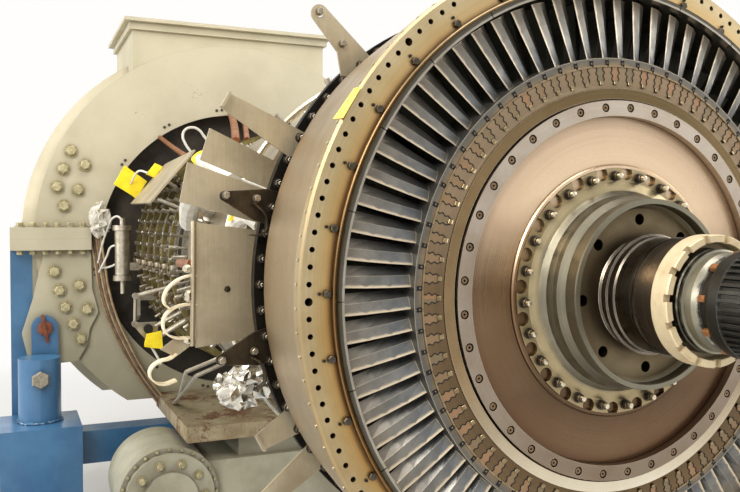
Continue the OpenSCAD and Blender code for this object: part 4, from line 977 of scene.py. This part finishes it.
# Each small tube's first and last station, and its line in the picture.
TUBE_LINES = ((-2160, -2160, ((204, 136), (199, 130), (192, 127.5), (185, 130), (182.8, 136), (185, 143), (191, 152))),
              (-3110, -2970, ((131, 184), (134, 177), (139, 171), (148, 173))),
              (-3060, -3222, ((122, 226), (119, 217), (113, 218), (108, 228), (103, 242), (98, 263))),
              (-3060, -3200, ((119, 245), (111, 247), (107, 256), (102, 266), (99, 272))),
              (-3060, -3200, ((120, 258), (117, 263), (109, 267), (102, 268))),
              (-2300, -2300, ((151, 346), (158, 358), (161, 364))))
tubes = [tube([seen_at(u, v, start + (end - start) * k / (len(line) - 1)) for k, (u, v) in enumerate(line)], 0.0055)
         for start, end, line in TUBE_LINES]
tubes.append(stay(seen_at(203, 135, -2160), 0.5))
hand_over(weld_together(tubes), "small_tubes", film_white)

HOSE_LINE = ((91, 226), (92, 242), (95, 262), (99, 288), (107, 316), (119, 343), (135, 372), (157, 402))
for shift in range(5):
    hose = tube([seen_at(u + shift * 2.4, v, -3258 + shift * 15) for u, v in HOSE_LINE], 0.0065 + 0.002 * (shift % 2))
    hand_over(hose, f"long_hose_{shift + 1}", (hose_tan, hose_brown)[shift % 2])

LEDGE_TOP = AXIS_Z - 0.803
ROD_TOPS = ((186, 372), (196, 376))
rods = [stay(top, 0.57) for top in seen(ROD_TOPS, -900)]
for u, v in ROD_TOPS:
    aim = seen_at(177 - (u - 186) * 0.4, 404, -2420) - CAMERA_PLACE
    foot = CAMERA_PLACE + aim * ((LEDGE_TOP - CAMERA_PLACE.z) / aim.z)
    rods.append(tube([seen_at(u, v, -900), foot], 0.006))
hand_over(weld_together(rods), "stay_rods", lever_steel)
hand_over(plate(seen(((160, 349.5), (177.6, 336), (195, 342), (175.5, 357)), -552), 0.004),
          "lower_sheet", sheet_gray)

CRANK = -2350        # station of the crank
crank = plate(seen(((131, 323), (157, 321.5), (158, 332), (146, 340)), CRANK), 0.012)
rod = tube(seen(((135.5, 296), (135, 323)), CRANK), 0.008)
ends = copies(round_bar(0.014, 0.03, 12, low=-0.015),
              [facing(point) for point in seen(((135.5, 296), (135, 324)), CRANK)])
feet = [stay(point, 0.49, 0.01) for point in seen(((135.5, 296), (155, 326)), CRANK)]
hand_over(weld_together([crank, rod, ends] + feet), "crank_and_rod", lever_steel)
# A black disc is painted shade for the crank's opening.
spread(round_bar(0.02, 0.02, 20, low=-0.004), [facing(seen_at(148, 328.5, CRANK))],
       "crank_opening_shade", deep_black)

for name, spot, size, finish, slot_name, crease in (
        ("foil_wrap", seen_at(243, 387, -520), (0.06, 0.062, 0.044), foil_silver, "pale_steel", 0.012),
        ("film_wrap", seen_at(100, 219, -3190), (0.045, 0.045, 0.09), film_white, "cream_ring", 0.016)):
    clear_bench()
    bpy.ops.mesh.primitive_ico_sphere_add(subdivisions=3, radius=1)
    bag = bpy.context.object
    bag.data.transform(Matrix.Translation(spot) @ Matrix.Diagonal((*size, 1)))
    bag = crumple(bag, crease, 1, 5)
    if name == "foil_wrap":
        bag = weld_together([bag, stay(spot, 0.57, 0.02)])
    hand_over(bag, name, finish, angle=25)


# ---------------------------------------------------------------- combustor and compressor

MANIFOLD = -1010     # station of the fuel nozzles
collars = [standing(MANIFOLD, 573, i * 18 + 9) for i in range(20)]
boss = stepped(peg(0.042, 0.03, 24, 0.004), (0.018, 0.026), (0.008, 0.05))
spread(boss, collars, "nozzle_bosses", lever_steel)
collar_bolts = [place @ Matrix.Rotation(math.radians(30 + 60 * k), 4, "Z") @ Matrix.Translation((0.032, 0, 0.029))
                for place in collars for k in range(6)]
spread(hex_head(0.011, 0.007), collar_bolts, "nozzle_bolts", bolt_steel)
hand_over(torus(0.64, 0.011, 120, 10, facing(on_axis(MANIFOLD, 0, 0))), "fuel_manifold", stud_bright)

flange_nuts = []
for front, back in ((-700, -1200), (-1700, -2100)):
    rim = [c for c in corners_of("core_flanges") if back < (c.x - FACE_X) / MM < front]
    station = (min(c.x for c in rim) - FACE_X) / MM
    outer = max(math.hypot(c.y, c.z - AXIS_Z) for c in rim) / MM
    flange_nuts += round_the_axis(60, station + 0.5, outer - 20, 3)
spread(hex_head(0.019, 0.012, 0.014, 0.003), backward(flange_nuts), "core_flange_bolts", bolt_steel)
port = soften(stepped(round_bar(0.03, 0.03, 6), (0.01, 0.02)), 0.002)
spread(port, [standing(-1560, 578, i * 30 + 16) for i in range(12)], "inspection_plugs", lever_steel)


# ---------------------------------------------------------------- intake and gearbox

PLATE_BOLTS = ((-922, 541), (-963, 443), (-851, 468), (-994, 346), (-888, 332), (-960, 245))
BRACKET_BOLTS = ((-1012, -105), (-888, -182), (-988, -206), (-959, -297), (-849, -312), (-920, -389), (-881, -472))
big_bolts = [facing(from_face(station, side * y, z), roll=y)
             for station, row in ((-3280, PLATE_BOLTS), (-3256, BRACKET_BOLTS)) for y, z in row for side in (1, -1)]
spread(hex_head(0.046, 0.028, 0.036, 0.007), big_bolts, "plate_bolts", bolt_painted)
joint_bolts = [facing(from_face(station, side * (870 + 62 * k), z), (0, 0, way), k * 13)
               for side in (1, -1) for k in range(6) for station in (-3232, -3420, -3600)
               for z, way in ((132, 1), (12, -1))]
joint_bolts = [place for place in joint_bolts if place.translation.x > FACE_X - 3.3 or abs(place.translation.y) > 1.13]
spread(hex_head(0.03, 0.02, 0.026, 0.005), joint_bolts, "split_flange_bolts", bolt_painted)
rim_screws = [facing(on_axis(-3280, 812, 7 + i * 22.5 + turn)) for i in range(16) for turn in (0, 2.1)]
spread(peg(0.008, 0.004, 12, 0.001, segments=1), rim_screws, "rim_screws", bolt_dark)


def round_the_covers(count, station, radius):
    """Places on a circle round both gearbox covers."""
    return [facing(from_face(station, side * 560 + radius * math.cos(a), -1118 + radius * math.sin(a)), roll=i * 11)
            for side in (1, -1) for i, a in enumerate(math.radians(i * 360 / count) for i in range(count))]


gear_station = (min(c.x for c in corners_of("gearbox_covers")) - FACE_X) / MM
spread(hex_head(0.014, 0.012), round_the_covers(24, gear_station, 217),
       "gear_rim_bolts", bolt_painted)
spread(hex_head(0.026, 0.018, 0.022, 0.004), round_the_covers(10, gear_station + 30, 160),
       "gear_cover_bolts", bolt_painted)

back_station = (min(c.x for c in corners_of("intake_back_plate")) - FACE_X) / MM
spread(hex_head(0.03, 0.017, 0.024, 0.004), backward(round_the_axis(24, back_station + 10, 447, 7.5)),
       "back_cover_bolts", bolt_painted)


# ---------------------------------------------------------------- stand

posts = corners_of("stand_posts")
post_foot = min(c.z for c in posts)
boss_x = max(c.x for c in posts)
beads, boss_spots = [], []
for side in (1, -1):
    foot = [c for c in posts if c.z < post_foot + 1e-4 and c.y * side > 0]
    middle = [(max(c[k] for c in foot) + min(c[k] for c in foot)) / 2 for k in (0, 1)]
    bead = torus(0.105, 0.007, 48, 8, Matrix.Translation((*middle, post_foot + 0.004)))
    beads.append(crumple(bead, 0.0025, 1, 3))
    rim = [c for c in posts if c.x > boss_x - 1e-4 and c.y * side > 0]
    boss_spots.append(facing(sum(rim, Vector()) / len(rim)))
hand_over(weld_together(beads), "weld_beads", stand_blue)

pin_x = max(c.x for c in corners_of("stand_lugs"))
pin_places = [facing((pin_x - 0.014, side * 1.064, AXIS_Z - 0.4), roll=80 * side) for side in (1, -1)]
spread(peg(0.037, 0.02, 32, 0.002), pin_places, "pin_ends", rust_red)
spread(soften(slab((-0.075, -0.009, 0.018), (0.075, 0.009, 0.026)), 0.003), pin_places,
       "pin_keepers", rust_red)
spread(hex_head(0.08, 0.008), boss_spots, "post_bolts", bolt_steel)


# ---------------------------------------------------------------- camera and light

camera_data = bpy.data.cameras.new("photo camera")
camera = into_scene(bpy.data.objects.new("photo camera", camera_data))
camera_data.sensor_width = SENSOR
camera_data.lens = LENS
camera_data.clip_end = 100.0
camera.location = CAMERA_PLACE
camera.rotation_mode = "QUATERNION"
camera.rotation_quaternion = CAMERA_TURN
bpy.context.scene.camera = camera


def soft_lamp(name, place, aim, size, watts, colour=(1.0, 1.0, 1.0)):
    data = bpy.data.lights.new(name, "AREA")
    data.shape = "RECTANGLE"
    data.size, data.size_y = size
    data.energy = watts
    data.color = colour
    lamp = into_scene(bpy.data.objects.new(name, data))
    lamp.location = place
    lamp.rotation_mode = "QUATERNION"
    lamp.rotation_quaternion = (Vector(aim) - Vector(place)).to_track_quat("-Z", "Y")


soft_lamp("key", (5.0, -4.2, 5.2), (1.2, 0.0, 1.4), (3.0, 3.0), 330, (1.0, 0.97, 0.92))
soft_lamp("side", (-1.0, -6.5, 3.4), (-0.5, 0.0, 1.4), (5.0, 2.5), 300, (0.98, 0.99, 1.0))
soft_lamp("far side", (2.0, 6.0, 3.6), (0.0, 0.0, 1.4), (5.0, 2.5), 220, (1.0, 0.98, 0.95))
soft_lamp("top", (0.0, 0.0, 6.5), (0.0, 0.0, 1.0), (6.0, 3.0), 260)


def seen_share(tree):
    """1 where the camera or a gloss or glass ray meets this, 0 for the light it gives."""
    path = node(tree, "ShaderNodeLightPath").outputs
    glossy_or_glass = sums(tree, "MAXIMUM", path["Is Glossy Ray"], path["Is Transmission Ray"])
    return sums(tree, "MAXIMUM", path["Is Camera Ray"], glossy_or_glass)


WARM_WHITE = (1.0, 0.99, 0.97, 1.0)
world = bpy.data.worlds.new("studio")
bpy.context.scene.world = world
world.use_nodes = True
sky = world.node_tree
background = sky.nodes["Background"]
background.inputs["Color"].default_value = WARM_WHITE
sky.links.new(between(sky, seen_share(sky), 0.0, 1.0, 0.42, 1.0), background.inputs["Strength"])

clear_bench()
bpy.ops.mesh.primitive_plane_add(size=40, location=(0, 0, 0))
floor = bpy.context.object
floor.name = "floor"
floor_finish = bpy.data.materials.new("pale floor")
floor_finish.use_nodes = True
tree = floor_finish.node_tree
floor_paint = tree.nodes["Principled BSDF"]
floor_paint.inputs["Base Color"].default_value = shade(226, 224, 220)
floor_paint.inputs["Roughness"].default_value = 0.7
# Far from the machine the floor turns into the white background.
reach = vector_math(tree, "LENGTH", object_place(tree))["Value"]
white = node(tree, "ShaderNodeEmission", {"Color": WARM_WHITE})
far = times(tree, between(tree, reach, 3.2, 7.0), seen_share(tree))
blend = node(tree, "ShaderNodeMixShader", {0: far, 1: floor_paint.outputs[0], 2: white.outputs[0]})
tree.links.new(blend.outputs[0], tree.nodes["Material Output"].inputs["Surface"])
floor.data.materials.append(floor_finish)

bpy.context.scene.view_settings.view_transform = "Standard"
